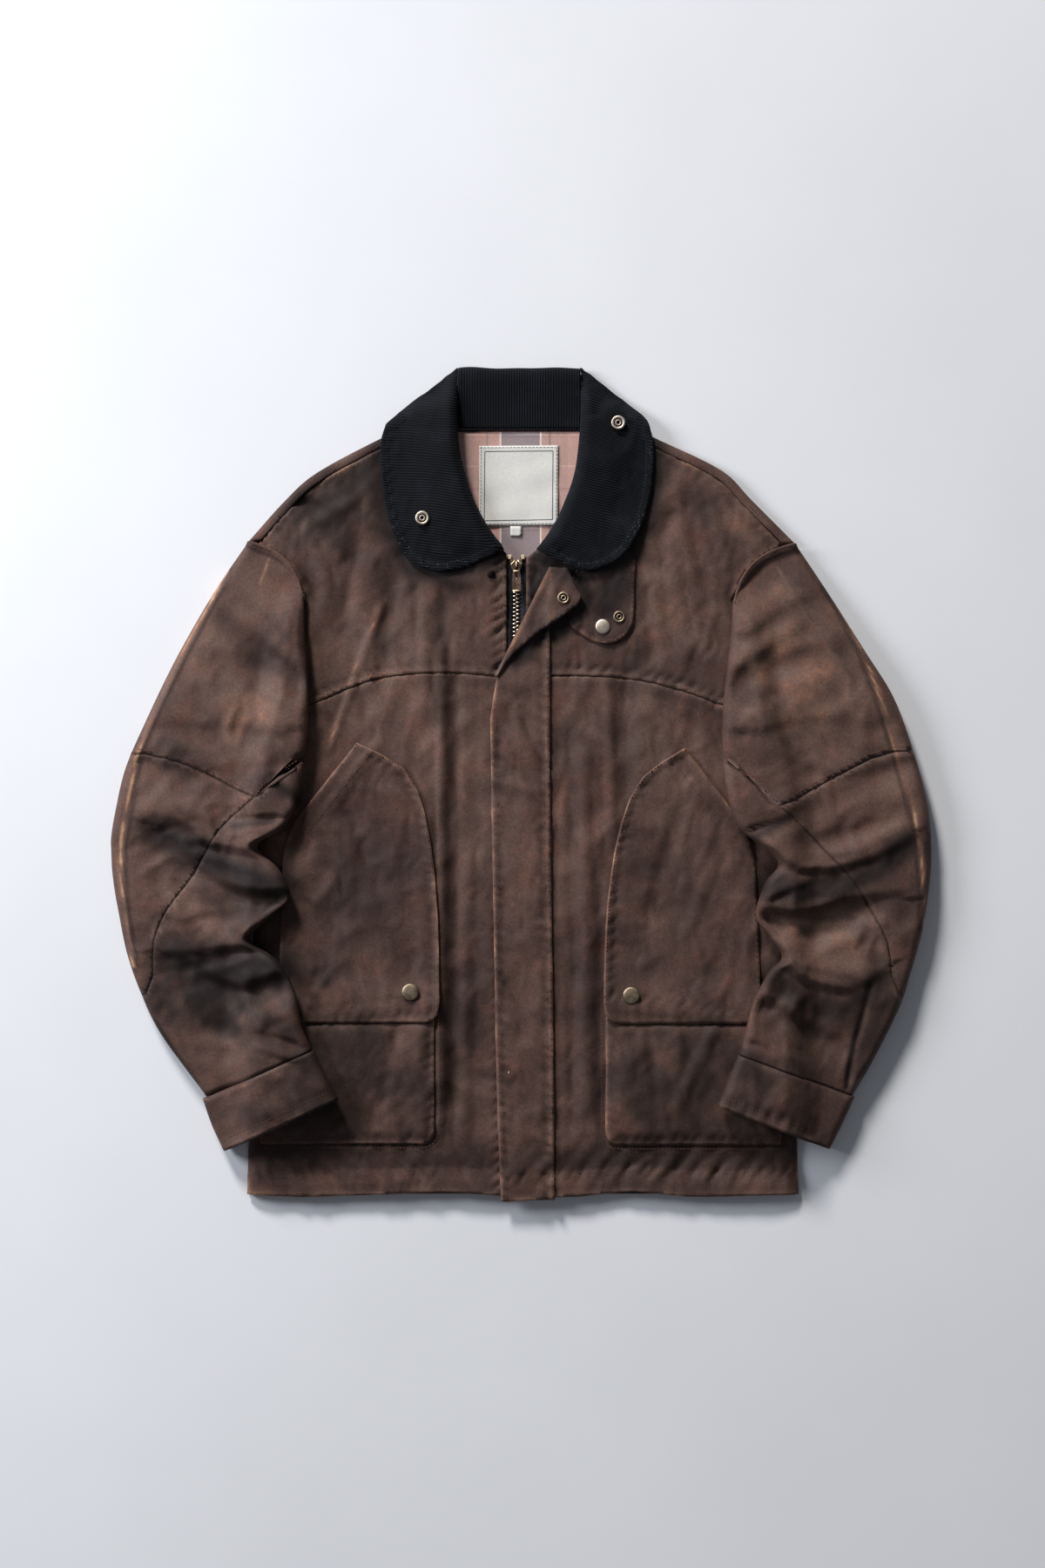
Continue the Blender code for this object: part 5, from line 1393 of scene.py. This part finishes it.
def snap_to(plan, path, frozen):
    """Moves the points nearest to a seam on to it. Returns their side: -1, 0 on it, or 1."""
    away, _ = along_path(plan[..., 0], plan[..., 1], path)
    pick = np.zeros(away.shape, bool)
    for axis in (0, 1):
        after = np.roll(away, -1, axis)
        cross = away * after < 0
        if axis == 0:
            cross[-1] = False
        near = abs(away) <= abs(after)
        pick |= cross & near
        pick |= np.roll(cross & ~near, 1, axis)
    moved = pick & ~frozen
    points = plan[moved]
    step, _, _, share, distance = to_pieces(points[:, 0], points[:, 1], path)
    feet = np.array(path, float)[:-1] + step * share[..., None]
    plan[moved] = feet[np.arange(len(points)), distance.argmin(1)]
    return np.where(pick, 0, np.sign(away)).astype(int)


def sleeve_faces(v_side, elbow_side, flip):
    """The tube's faces, all turned outward, sorted by the piece of cloth that each is on."""
    rows, columns = v_side.shape
    sorted_faces = {"upper": [], "elbow": [], "forearm": []}
    for i in range(rows - 1):
        for k in range(columns):
            after = (k + 1) % columns
            corners = [(i, k), (i + 1, k), (i + 1, after), (i, after)]
            v = [v_side[corner] for corner in corners]
            e = [elbow_side[corner] for corner in corners]
            quad = [row * columns + column for row, column in corners]
            split = None
            for values in (v, e):
                if min(values) < 0 < max(values):
                    split = 0 if values[0] == 0 and values[2] == 0 else 1
            parts = [range(4)] if split is None else ([(0, 1, 2), (0, 2, 3)] if split == 0
                                                      else [(0, 1, 3), (1, 2, 3)])
            for part in parts:
                above = sum(v[n] for n in part) * flip
                outside = sum(e[n] for n in part) * flip
                name = "upper" if above > 0 else ("elbow" if outside < 0 else "forearm")
                sorted_faces[name].append([quad[n] for n in part][::-flip])
    return sorted_faces


def keep_used(points, faces):
    """Only the points that the faces use."""
    used = sorted({i for face in faces for i in face})
    place = {old: new for new, old in enumerate(used)}
    return points[used], [[place[i] for i in face] for face in faces]


# How wide each piece's pattern is for its length, and how much of that oblong its outline fills.
PATTERN_SHAPES = {"upper": (300, 190), "elbow": (170, 240), "forearm": (300, 300)}
PATTERN_FILL = 0.8


def make_sleeve(side):
    v_seam, elbow = smooth_path(V_SEAM[side], 3), smooth_path(ELBOW_SEAM[side], 3)
    grid = tube_grid(SLEEVE[side], True, 12, across=48)
    plan = grid[0]
    v_side = snap_to(plan, v_seam, np.zeros(plan.shape[:2], bool))
    elbow_side = snap_to(plan, elbow, v_side == 0)
    z = tube_heights(side, grid, [(v_seam, 0.25, 73), (elbow, 0.2, 74)])
    points = np.column_stack([plan.reshape(-1, 2), z.ravel()])
    for piece, faces in sleeve_faces(v_side, elbow_side, FLIP[side]).items():
        own, kept = keep_used(points, faces)
        area = tube_area(own, kept)
        wide, long = PATTERN_SHAPES[piece]
        scale = math.sqrt(area / (PATTERN_FILL * wide * long))
        made = add_cloth(f"sleeve_{piece}_cloth_{side}", [(own, kept)], [f"sleeve_{piece}_{side}"],
                         (wide * scale, long * scale), area, "front_cloth_" + side, grow=-1, merge=0.4,
                         marks=lambda x, y, z: wear_wax_and_shade(x, y, None, [v_seam, elbow]))
        print(made.name, len(made.data.polygons), "faces; pattern about", round(wide * scale), "by",
              round(long * scale), "mm")
    sew_on_tube(offset(v_seam, FLIP[side] * 4.5), grid, z)
    armhole = armhole_points(side, ARMHOLE_GAP)
    for seam in (v_seam, elbow, offset(armhole, -FLIP[side] * 2.5)):
        sew_on_tube(seam, grid, z, "seam")


def tube_area(points, faces):
    """Area of the faces, square mm."""
    total = 0.0
    for face in faces:
        corner = points[list(face)]
        for n in range(1, len(face) - 1):
            total += 0.5 * np.linalg.norm(np.cross(corner[n] - corner[0], corner[n + 1] - corner[0]))
    return total


CORD_SUNK = 0.35         # how far the thread in a sleeve's seams lies below the cloth


def sew_on_tube(line, grid, z, kind="canvas"):
    """Stitches along a line on the upper side of a tube, at the height of its nearest points."""
    plan, level = grid[0], grid[1]
    top = level.ravel() > 0.98
    places, heights = plan.reshape(-1, 2)[top], z.ravel()[top]
    line = even(line, STITCH_PITCH)
    away = np.linalg.norm(line[:, None] - places[None], axis=-1)
    near = np.argsort(away, axis=1)[:, :3]
    close = np.take_along_axis(away, near, 1)
    share = 1 / (close + 0.05)
    level_z = (heights[near] * share).sum(1) / share.sum(1) - (CORD_SUNK if kind == "seam" else 0)
    run = np.column_stack([line, level_z])[close[:, 0] < 3.5]
    if len(run) > 3:
        STITCH_LINES[kind].append(run)


for side in "rl":
    make_sleeve(side)


CUFF_HEM = 0.8           # where its stitches run, as a share of the way to the cuff's end


def make_cuff(side):
    grid = tube_grid(CUFF[side], False, 8)
    start, end = (grid[0][row][:LOW_POINTS] for row in (0, -1))
    stitched = end * CUFF_HEM + start * (1 - CUFF_HEM)
    z = tube_heights(side, grid, [(end, 0.7, 76), (stitched, 1.3, 77), (start, 0.6, 78)])
    points, faces = strip_patch(np.dstack([grid[0], z]), closed=True)
    faces = [list(face)[::-FLIP[side]] for face in faces]
    area = tube_area(points, faces)
    girth = 2 * np.linalg.norm(end[-1] - end[0])
    made = add_cloth("cuff_cloth_" + side, [(points, faces)], ["cuff_" + side],
                     (girth, area / girth), area, "front_cloth_" + side, grow=-1, merge=0.05,
                     marks=lambda x, y, z: wear_wax_and_shade(x, y, None, [start, end]))
    print(made.name, len(made.data.polygons), "faces; pattern", round(girth), "by",
          round(area / girth), "mm")
    sew_on_tube(even(stitched, 4)[1:-1], grid, z)


for side in "rl":
    make_cuff(side)


# %% [markdown]
# ## Corduroy collar
#
# The collar stands up behind the neck and folds over: a band that is folded along its crest, and a
# leaf to each side that rolls down on to the yokes. The wales run up the band and across the
# leaves, so each point gets its place across the wales, `wale`, in millimetres.

# %% Collar
def shoulder_top(x, y):
    """Top of the body under the collar, falling to the surface beyond the shoulder line."""
    on_body = by_side(x, y, lambda x, y, side: inside(x, y, BODY_LOOP[side]))
    beyond = by_side(x, y, lambda x, y, side: nearest(x, y, smooth_path(SHOULDER[side])))
    return (front_under(x, y) + CLOTH) * np.where(on_body, 1, ease(1.25 - beyond / 18))


LATCH_TOP_Y = 262.0      # the left leaf starts to rise over the latch here, towards -Y
LATCH_RUN = 44.0
CREST_DROP = 9.0         # a leaf's roll sinks this far behind the neck
CREST_DROP_Y, CREST_DROP_RUN = 340.0, 40.0
THROAT_DROP = 2.0        # and this far at the throat
THROAT_Y, THROAT_RUN = 250.0, 36.0
ROLL_WIDTH = 7.0         # the turned-down strip inside the roll
LEAST_LEAF_Z = 2.0


def leaf_under(x, y):
    """Underside of a leaf: high along the roll, turned down inside it, low at the outer edge."""
    roll, outer = (by_side(x, y, lambda x, y, side: nearest(x, y, smooth_path(table[side])))
                   for table in (LEAF_ROLL, LEAF_OUTER))
    rise = np.where(x > 0, LATCH_RISE * ease((LATCH_TOP_Y - y) / LATCH_RUN), 0)
    low = np.maximum(shoulder_top(x, y) + REST, LEAST_LEAF_Z) + rise
    crest = (ROLL_Z - CREST_DROP * ease((y - CREST_DROP_Y) / CREST_DROP_RUN)
             - THROAT_DROP * ease((THROAT_Y - y) / THROAT_RUN) + 0.5 * rise)
    share = roll / np.maximum(roll + outer, 0.01)
    turn_down = ROLL_DROP * np.maximum(1 - roll / ROLL_WIDTH, 0) ** 2
    lifted = low + np.maximum(crest - low, 0) * (1 - ease(share)) - turn_down
    return np.maximum(lifted, low * ease(roll / 4) + (1 - ease(roll / 4)) * (low - 1.0))


LEAF_SLOPE = {"r": 0.10, "l": 0.30}      # how much the wales of each leaf fall towards +X
COLLAR_BACK_WIDTH = 118.0                # crest corner to crest corner
COLLAR_HEM = 7.0
LEAF_SPACING = 2.5


def leaf_marks(side):
    return lambda x, y, z: {"wale": y + LEAF_SLOPE[side] * x + 0.8 * wobble(x, y, 70, 81)}


def make_collar():
    section = smooth_path([(STAND_FOOT_Y, 4.6), (342, 6.4), (360, 9.2), (371, 11.0), (377.5, 10.4),
                           (CREST_Y - 1.3, 7.0), (CREST_Y - 2.6, 3.4), (CREST_Y - 7, 1.5),
                           (CREST_Y - BACK_FALL, 1.5)], 6)
    edges = {side: np.array(STAND_EDGE[side], float).T for side in "rl"}
    rows = []
    for share in np.linspace(0, 1, 56):
        right, left = (np.interp(section[:, 0], edges[side][1], edges[side][0]) for side in "rl")
        x = right + (left - right) * share
        y = section[:, 0] + 0.9 * wobble(x, 0 * x, 60, 82) * ease((section[:, 0] - 350) / 20)
        rows.append(np.column_stack([x, y, section[:, 1]]))
    sheets = [strip_patch(rows)]
    area = tube_area(*sheets[0])
    add_cloth("collar_back_cloth", sheets, ["collar_back"],
              (COLLAR_BACK_WIDTH, area / COLLAR_BACK_WIDTH), area, "back_cloth", wall=CORD, grow=0,
              look=CORDUROY, slot="black_corduroy", marks=lambda x, y, z: {"wale": x})
    for side in "rl":
        outer, roll = (even(smooth_path(table[side]), 6) for table in (LEAF_OUTER, LEAF_ROLL))
        loop = outline(outer, roll)
        hem = [(outer, COLLAR_HEM, 0.5, 0.35, 6, 83)]

        def height(x, y):
            return leaf_under(x, y) + edge_relief(x, y, hem) + 0.3 * wobble(x, y, 40, 84)

        wide, long = np.ptp(loop, axis=0)
        sheet = cut_patch(finer(loop, LEAF_SPACING), height, LEAF_SPACING)
        made = add_cloth("collar_leaf_cloth_" + side, [sheet], ["collar_leaf_" + side],
                         (wide, long), loop_area(loop), "yoke_cloth_" + side, wall=CORD,
                         look=CORDUROY, slot="black_corduroy", marks=leaf_marks(side))
        flip = FLIP[side]
        sew(offset(outer, flip * 6.4)[2:-2], lambda x, y: height(x, y) + CORD, "corduroy")
        crest = np.interp([366, 379.5], edges[side][1], edges[side][0]) - flip * 0.6
        STITCH_LINES["collar_seam"].append(even([(crest[0], 366, 11.2), (crest[1], 376, 11.2),
                                                 (crest[1], 379.5, 9.2)], 3))
        print(made.name, len(made.data.polygons), "faces, pattern", round(wide), "by", round(long))


make_collar()


# %% [markdown]
# ## Neck label and size tab
#
# A woven label sewn into the lining all round, bare but for a plain woven border, and a small blank
# tab below it.

# %% Labels
LABEL_CORNERS = np.array([(-38, 310), (-38.5, 236.5), (34, 237.5), (34.5, 310.5)], float)
TAB_CORNERS = np.array([(-9.5, 227.5), (0.5, 227.5), (0.5, 236.4), (-9.5, 236.4)], float)
LABEL_Z = CLOTH + SEAM + LINING + 0.7
LABEL_WALL = 0.7
SEWN_UNDER = 3.0         # turned in at the top, where the stitches hold it


def label_under(x, y):
    return LABEL_Z + 0.25 * wobble(x, y, 36, 91) + 0.5 * ease((246 - y) / 14)


for name, node, corners in (("neck_label_cloth", "neck_label", LABEL_CORNERS),
                            ("size_tab_cloth", "size_tab", TAB_CORNERS)):
    wide, long = np.ptp(corners, axis=0)
    long += SEWN_UNDER
    add_cloth(name, [cut_patch(finer(corners, 2.0), label_under, 2.0)], [node], (wide, long),
              loop_area(corners), "back_neck_lining", wall=LABEL_WALL, look=LABEL,
              slot="label_cloth")


def inset(corners, distance):
    """A four-cornered outline moved in by distance, closed."""
    middle = corners.mean(0)
    reach = np.abs(corners - middle)
    moved = middle + (corners - middle) * (1 - distance / reach)
    return np.vstack([moved, moved[:1]])


def label_top(x, y):
    return label_under(x, y) + LABEL_WALL


sew(inset(LABEL_CORNERS, 1.6), label_top, "label")


def thin_line(name, path, width, height, look, body="root", thick=0.12):
    """A flat thin band along a path, lying on height(x, y), that moves with body."""
    sides = [offset(even(path, 2.0), shift) for shift in (-width / 2, width / 2)]
    sides = [np.column_stack([side, height(*side.T) + 0.05]) for side in sides]
    made = mesh_of(name, [strip_patch(np.stack(sides, axis=1))], look)
    add_wall(made, thick, 1)
    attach(made, body)
    return made


BORDER = inset(LABEL_CORNERS, 5.0)
for number in range(4):
    thin_line(f"label_border_{number}", BORDER[number:number + 2], 0.7, label_top, GREY_THREAD)


# %% [markdown]
# ## Zip
#
# Two woven tapes under the front edges, and a chain of cast teeth between them. A tooth is made
# once and repeated along each tape by Geometry Nodes, half a pitch apart on the two sides.

# %% Zip tapes
TAPE_SPACING = 3.4
TAPE_NEAR, TAPE_FAR = 3.4, 17.0      # each tape's edges, from the zip's middle
TAPE_Z = 5.3


def box_loop(low_x, low_y, high_x, high_y):
    return np.array([(low_x, low_y), (high_x, low_y), (high_x, high_y), (low_x, high_y)], float)


for side, sign in (("r", -1), ("l", 1)):
    low_x, high_x = sorted([ZIP_X + sign * TAPE_FAR, ZIP_X + sign * TAPE_NEAR])
    corners = box_loop(low_x, ZIP_BOTTOM_Y, high_x, ZIP_TOP_Y + 4)
    wide, long = np.ptp(corners, axis=0)
    sheet = cut_patch(finer(corners, TAPE_SPACING), lambda x, y: 0 * x + TAPE_Z, TAPE_SPACING)
    add_cloth("zip_tape_cloth_" + side, [sheet], ["zip_tape_" + side], (wide, long),
              loop_area(corners), "back_cloth", wall=1.0, look=TAPE, slot="zip_tape")


# %% [markdown]
# The tree that repeats a shape along lines is used twice, for the teeth and for all the stitches.
# It turns the lines into curves, puts a point at every pitch, turns the shape to follow the curve,
# and makes the copies real, because an export drops instances.

# %% Repeating a shape along lines
def repeat_tree(name):
    """A Geometry Nodes tree: Shape, repeated every Pitch along the lines, in Finish."""
    tree = bpy.data.node_groups.new(name, "GeometryNodeTree")
    face = tree.interface
    face.new_socket("Lines", in_out="INPUT", socket_type="NodeSocketGeometry")
    for label, kind in (("Shape", "NodeSocketObject"), ("Pitch", "NodeSocketFloat"),
                        ("Finish", "NodeSocketMaterial")):
        face.new_socket(label, in_out="INPUT", socket_type=kind)
    face.new_socket("Copies", in_out="OUTPUT", socket_type="NodeSocketGeometry")
    given = add_node(tree, "NodeGroupInput").outputs
    curve = add_node(tree, "GeometryNodeMeshToCurve", {"Mesh": given["Lines"]}).outputs[0]
    points = add_node(tree, "GeometryNodeCurveToPoints", {"Curve": curve, "Length": given["Pitch"]},
                      mode="LENGTH")
    shape = add_node(tree, "GeometryNodeObjectInfo", {"Object": given["Shape"]})
    copies = add_node(tree, "GeometryNodeInstanceOnPoints",
                      {"Points": points.outputs["Points"], "Instance": shape.outputs["Geometry"],
                       "Rotation": points.outputs["Rotation"]})
    real = add_node(tree, "GeometryNodeRealizeInstances", {0: copies.outputs[0]})
    done = add_node(tree, "GeometryNodeSetMaterial", {"Geometry": real.outputs[0],
                                                      "Material": given["Finish"]})
    add_node(tree, "NodeGroupOutput", {0: done.outputs[0]})
    return tree


REPEAT = repeat_tree("repeat_along_lines")
SOCKETS = {item.name: item.identifier for item in REPEAT.interface.items_tree
           if item.in_out == "INPUT"}


def repeat_along(name, lines, shape, pitch, look):
    """One plain mesh of the shape repeated along all the lines, which are arrays of mm points."""
    data = bpy.data.meshes.new(name + "_lines")
    starts = np.cumsum([0] + [len(line) for line in lines])
    edges = [(start + i, start + i + 1) for start, line in zip(starts, lines)
             for i in range(len(line) - 1)]
    data.from_pydata((np.vstack(lines) * MM).tolist(), edges, [])
    guide = show(name + "_lines", data)
    modifier = guide.modifiers.new("repeat", "NODES")
    modifier.node_group = REPEAT
    modifier[SOCKETS["Shape"]] = shape
    modifier[SOCKETS["Pitch"]] = pitch * MM
    modifier[SOCKETS["Finish"]] = look
    evaluated = guide.evaluated_get(bpy.context.evaluated_depsgraph_get())
    plain = bpy.data.meshes.new_from_object(evaluated)
    bpy.data.objects.remove(guide, do_unlink=True)
    bpy.data.meshes.remove(data)
    made = show(name, plain)
    plain.shade_smooth()
    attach(made, "root")
    print(name, len(plain.polygons), "faces")
    return made


def ring(x, y, z, across, up, sides):
    """Points round an ellipse at a height."""
    turn = np.linspace(0, 2 * math.pi, sides, endpoint=False)
    return np.column_stack([x + across * np.cos(turn), y + up * np.sin(turn), np.full(sides, z)])


def capped_mesh(name, rows):
    """A closed mesh through rings of millimetre points, filled at both ends."""
    points, faces = strip_patch(rows, closed=True)
    sides, last = len(rows[0]), len(points) - len(rows[0])
    shape = bmesh.new()
    verts = [shape.verts.new(point * MM) for point in points]
    for face in faces + [list(range(sides))[::-1], list(range(last, last + sides))]:
        shape.faces.new([verts[i] for i in face])
    bmesh.ops.recalc_face_normals(shape, faces=shape.faces)
    data = bpy.data.meshes.new(name)
    shape.to_mesh(data)
    shape.free()
    return data


def pattern_shape(name, sections, sides):
    """A small rounded shape along z, from rows of (z, radius across, radius up), in mm."""
    rows = [ring(0, 0, z, across, up, sides) for z, across, up in sections]
    return bpy.data.objects.new(name, capped_mesh(name, rows))


STITCH = pattern_shape("stitch_shape", [(-1.25, 0.12, 0.1), (-0.8, 0.3, 0.26), (0.8, 0.3, 0.26),
                                        (1.25, 0.12, 0.1)], 6)
SEAM_CORD = pattern_shape("seam_shape", [(-1.9, 0.2, 0.2), (-1.2, 0.34, 0.4), (1.2, 0.34, 0.4),
                                         (1.9, 0.2, 0.2)], 6)
TOOTH_PITCH = 3.6
TOOTH = pattern_shape("tooth_shape", [(-0.8, 1.4, 0.7), (-0.55, 2.1, 1.2), (0.55, 2.1, 1.2),
                                      (0.8, 1.4, 0.7)], 8)
TOOTH_Z = TAPE_Z + 1.2
TOOTH_TOP_Y = 190.0      # the first tooth, under the slider
TOOTH_SHIFT = 1.5        # each side's teeth, from the zip's middle
tooth_lines = []
for sign, start in ((-1, TOOTH_TOP_Y), (1, TOOTH_TOP_Y - TOOTH_PITCH / 2)):
    x = ZIP_X + sign * TOOTH_SHIFT
    tooth_lines.append(np.array([(x, start, TOOTH_Z), (x, ZIP_BOTTOM_Y + 4, TOOTH_Z)]))
teeth = repeat_along("zip_teeth", tooth_lines, TOOTH, TOOTH_PITCH, TEETH)
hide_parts("zip_chain")


# %% [markdown]
# ## Snaps, slider and pull
#
# The slider, its pull and the two top stops keep the imported model's shape, and take a better finish.
# The stops and a few thin beads along the slider's and pull's edges are near-white brass: painted
# highlights.
#
# A snap is a turned metal part, so its profile is drawn once as radius and height, and turned round.

# %% Metal parts
def turned(name, node, place, profile, look, sides=40):
    """A turned solid from rows of (radius, height); it replaces the node."""
    x, y, z = place
    rows = [ring(x, y, z + height, radius, radius, sides) for radius, height in profile]
    data = capped_mesh(name, rows)
    data.materials.append(look)
    data.shade_smooth()
    data.set_sharp_from_angle(angle=math.radians(50))
    made = show(name, data)
    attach(made, "root")
    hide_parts(node)
    return made


# Rows of (share of the radius, height).
CAP = [(1.0, -0.6), (1.0, 0.3), (0.97, 0.9), (0.9, 1.3), (0.78, 1.55), (0.55, 1.8), (0.30, 1.95),
       (0.08, 2.0)]
SOCKET = [(1.0, -0.5), (1.0, 0.6), (0.93, 1.3), (0.82, 1.5), (0.70, 1.3), (0.64, 0.8), (0.62, 0.2),
          (0.44, 0.2), (0.42, 0.9), (0.34, 1.1), (0.27, 0.9), (0.25, 0.2), (0.05, 0.2)]
# Painted shade: a dark flat ring in each hollow of a socket.
HOLLOW_SHADE_RINGS = []               # x, y, z; outer and inner radius of each dark hollow in a socket
WELL_HEIGHT = 0.32


def snap(name, node, profile, radius, look):
    low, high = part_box(node)
    x, y = (low[0] + high[0]) / 2 / MM, (low[1] + high[1]) / 2 / MM
    place = (x, y, low[2] / MM + (0.8 * FLAP_LIFT if node == "socket_flap" else 0))
    if profile is SOCKET:
        for outer, inner in ((0.6, 0.46), (0.24, 0.0)):
            HOLLOW_SHADE_RINGS.append((x, y, place[2] + WELL_HEIGHT, outer * radius, max(inner * radius, 0.05)))
    return turned(name, node, place, [(r * radius, h) for r, h in profile], look)


for name, node, profile, radius, look, slot in (
        ("pocket_snap_cap_r", "snap_pocket_r", CAP, 7.7, BRASS, "antique_brass"),
        ("pocket_snap_cap_l", "snap_pocket_l", CAP, 7.7, BRASS, "antique_brass"),
        ("latch_snap_cap", "snap_latch", CAP, 6.8, NICKEL, "pale_nickel"),
        ("latch_snap_socket", "socket_latch", SOCKET, 5.4, BRASS, "antique_brass"),
        ("flap_snap_socket", "socket_flap", SOCKET, 5.6, BRASS, "antique_brass"),
        ("collar_snap_socket_r", "socket_collar_r", SOCKET, 6.4, NICKEL, "pale_nickel"),
        ("collar_snap_socket_l", "socket_collar_l", SOCKET, 6.4, NICKEL, "pale_nickel"),
        ("neck_stud", "stud_neck", CAP, 3.6, DARK_METAL_AND_SHADE, "antique_brass")):
    snap(name, node, profile, radius, look)


def make_hollow_shade():
    """Painted shade in the sockets' hollows, as dark flat rings in one mesh."""
    sheets = [strip_patch([ring(x, y, z, radius, radius, 24) for radius in radii], closed=True)
              for x, y, z, *radii in HOLLOW_SHADE_RINGS]
    made = mesh_of("socket_hollows", sheets, DARK_METAL_AND_SHADE)
    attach(made, "root")


make_hollow_shade()

# The slider and pull take bronze; the two stops take the near-white brass of painted highlight.
for node, look in (("zip_slider", BRONZE), ("zip_pull", BRONZE), ("zip_stop_r", HIGHLIGHT_BRASS),
                   ("zip_stop_l", HIGHLIGHT_BRASS)):
    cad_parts[node].data.materials.clear()
    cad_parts[node].data.materials.append(look)

# Thin near-white beads on the pull and slider: painted highlights.
# Heights of the faces that the beads lie on.
PULL_TOP = 12.85
SLIDER_TOP = 10.25
ARCH_TOP = 14.4
for name, path, top, body in (
        ("pull_bead_end", [(-7.4, 176.8), (-0.6, 176.8)], PULL_TOP, "zip_pull"),
        ("pull_bead_top", [(-6.6, 194.8), (-1.4, 194.8)], PULL_TOP, "zip_pull"),
        ("slider_bead_r", [(-9.0, 200.6), (-5.2, 204.8)], SLIDER_TOP, "root"),
        ("slider_bead_l", [(1.0, 200.6), (-2.8, 204.8)], SLIDER_TOP, "root"),
        ("slider_crown", [(-4.0, 198.6), (-4.0, 203.4)], ARCH_TOP, "root")):
    thin_line(name, path, 1.1, lambda x, y: 0 * x + top, HIGHLIGHT_BRASS, body, 0.3)


# %% [markdown]
# ## Stitching
#
# Every seam has left its line. One thread shape, half sunk in the cloth, now goes along all of them.

# %% Stitches
for kind, shape, look, slot in (("canvas", STITCH, THREAD, "waxed_cotton"),
                                ("corduroy", STITCH, DARK_THREAD, "black_corduroy"),
                                ("label", STITCH, GREY_THREAD, "label_cloth"),
                                ("seam", SEAM_CORD, SEAM_SHADE, "waxed_cotton"),
                                ("collar_seam", SEAM_CORD, DARK_THREAD, "black_corduroy")):
    repeat_along("stitches_in_" + kind, STITCH_LINES[kind], shape, STITCH_PITCH, look)


# %% [markdown]
# ### Lint
#
# Corduroy holds pale lint, most of it round its lower edges. Each fibre is a short line, and the same
# tree puts one small fibre on it. One white fleck lies on the storm flap.

# %% Lint
FIBRE_REACH = 7.0        # how far in from the edge the lint lies
FIBRE = pattern_shape("fibre_shape", [(-0.7, 0.05, 0.05), (0, 0.13, 0.1), (0.7, 0.05, 0.05)], 4)


def scatter_fibres(path, side, number, height, seed):
    """Short lines at random beside a path (side 1 is its left), lying on height(x, y)."""
    draw = np.random.default_rng(seed)
    path = even(path, 1.0)
    picked = draw.integers(0, len(path), number)
    shifts = side * draw.uniform(0.8, FIBRE_REACH, number)
    foot = np.array([offset(path, shift)[i] for i, shift in zip(picked, shifts)])
    way = draw.uniform(0, 2 * np.pi, number)
    end = foot + 1.2 * np.stack([np.cos(way), np.sin(way)], axis=1)
    z = height(*foot.T)
    return [np.array([(*a, h), (*b, h)]) for a, b, h in zip(foot, end, z)]


def pile_top(x, y):
    """Where lint lies on a leaf's pile."""
    return leaf_under(x, y) + CORD + 0.4


fibres = scatter_fibres(smooth_path(LEAF_OUTER["l"][4:]), -1, 60, pile_top, 95)
fibres += scatter_fibres(smooth_path(LEAF_OUTER["r"][6:]), 1, 34, pile_top, 96)
repeat_along("collar_lint", fibres, FIBRE, STITCH_PITCH, LINT)
fleck = np.array([(-11.0, -264.0), (-11.5, -267.0)])
fleck_z = storm_under(*fleck.T) + CANVAS_WALL + 0.2
repeat_along("lint_fleck", [np.column_stack([fleck, fleck_z])], STITCH, STITCH_PITCH, LABEL)
for pattern in (STITCH, SEAM_CORD, TOOTH, FIBRE):
    bpy.data.objects.remove(pattern, do_unlink=True)


# %% [markdown]
# ## The stage
#
# A pale blue-grey plaster table, seen from straight above. A large soft light high to the upper
# left gives the long soft shadows, and a dim sky fills them.

# %% Floor, light and camera
FLOOR_HALF = 3.0
VIEW_HEIGHT = 1440.0     # what the camera takes in, up the picture, mm
CAMERA_AWAY = 3.0
SENSOR = 36.0
CLOUD = 1000 / 3.0       # size of the plaster's cloudy patches


def make_floor():
    made, tree, shader, place = new_finish("pale_plaster", 0.9, specular=0.2)
    share = remap(tree, noise(tree, place, CLOUD, 6.0, 0.6), 0.35, 0.65)
    feed(tree, shader, {"Base Color": mix(tree, share, linear("E5E7EB"), linear("E9EBEF"))})
    data = bpy.data.meshes.new("floor")
    corners = [(-1, -1), (1, -1), (1, 1), (-1, 1)]
    data.from_pydata([(x * FLOOR_HALF, y * FLOOR_HALF, -0.0005) for x, y in corners], [],
                     [(0, 1, 2, 3)])
    data.materials.append(made)
    show("floor", data)


def add_light(name, place, aim, size, power, hex_colour):
    """A soft round lamp of a size in metres and a power in watts."""
    lamp = bpy.data.lights.new(name, "AREA")
    lamp.shape = "DISK"
    lamp.size = size
    lamp.energy = power
    lamp.color = linear(hex_colour)[:3]
    made = show(name, lamp)
    made.location = place
    made.rotation_euler = (Vector(aim) - Vector(place)).to_track_quat("-Z", "Y").to_euler()


make_floor()
add_light("window", (-2.6, 6.2, 3.4), (0, 0, 0), 1.6, 610, "FFFCF8")
add_light("side", (-2.0, 0.8, 1.1), (-0.2, 0.0, 0), 1.0, 44, "F4F7FF")

world = bpy.data.worlds.new("sky")
world.use_nodes = True
set_inputs(world.node_tree.nodes["Background"], {"Color": linear("E6ECF6"), "Strength": 0.15})
bpy.context.scene.world = world
bpy.context.scene.view_settings.view_transform = "Standard"

camera = bpy.data.cameras.new("camera")
camera.sensor_width = SENSOR
camera.lens = SENSOR * CAMERA_AWAY / (VIEW_HEIGHT * MM)
eye = show("camera", camera)
eye.location = (0.0016, 0.0, CAMERA_AWAY)
bpy.context.scene.camera = eye
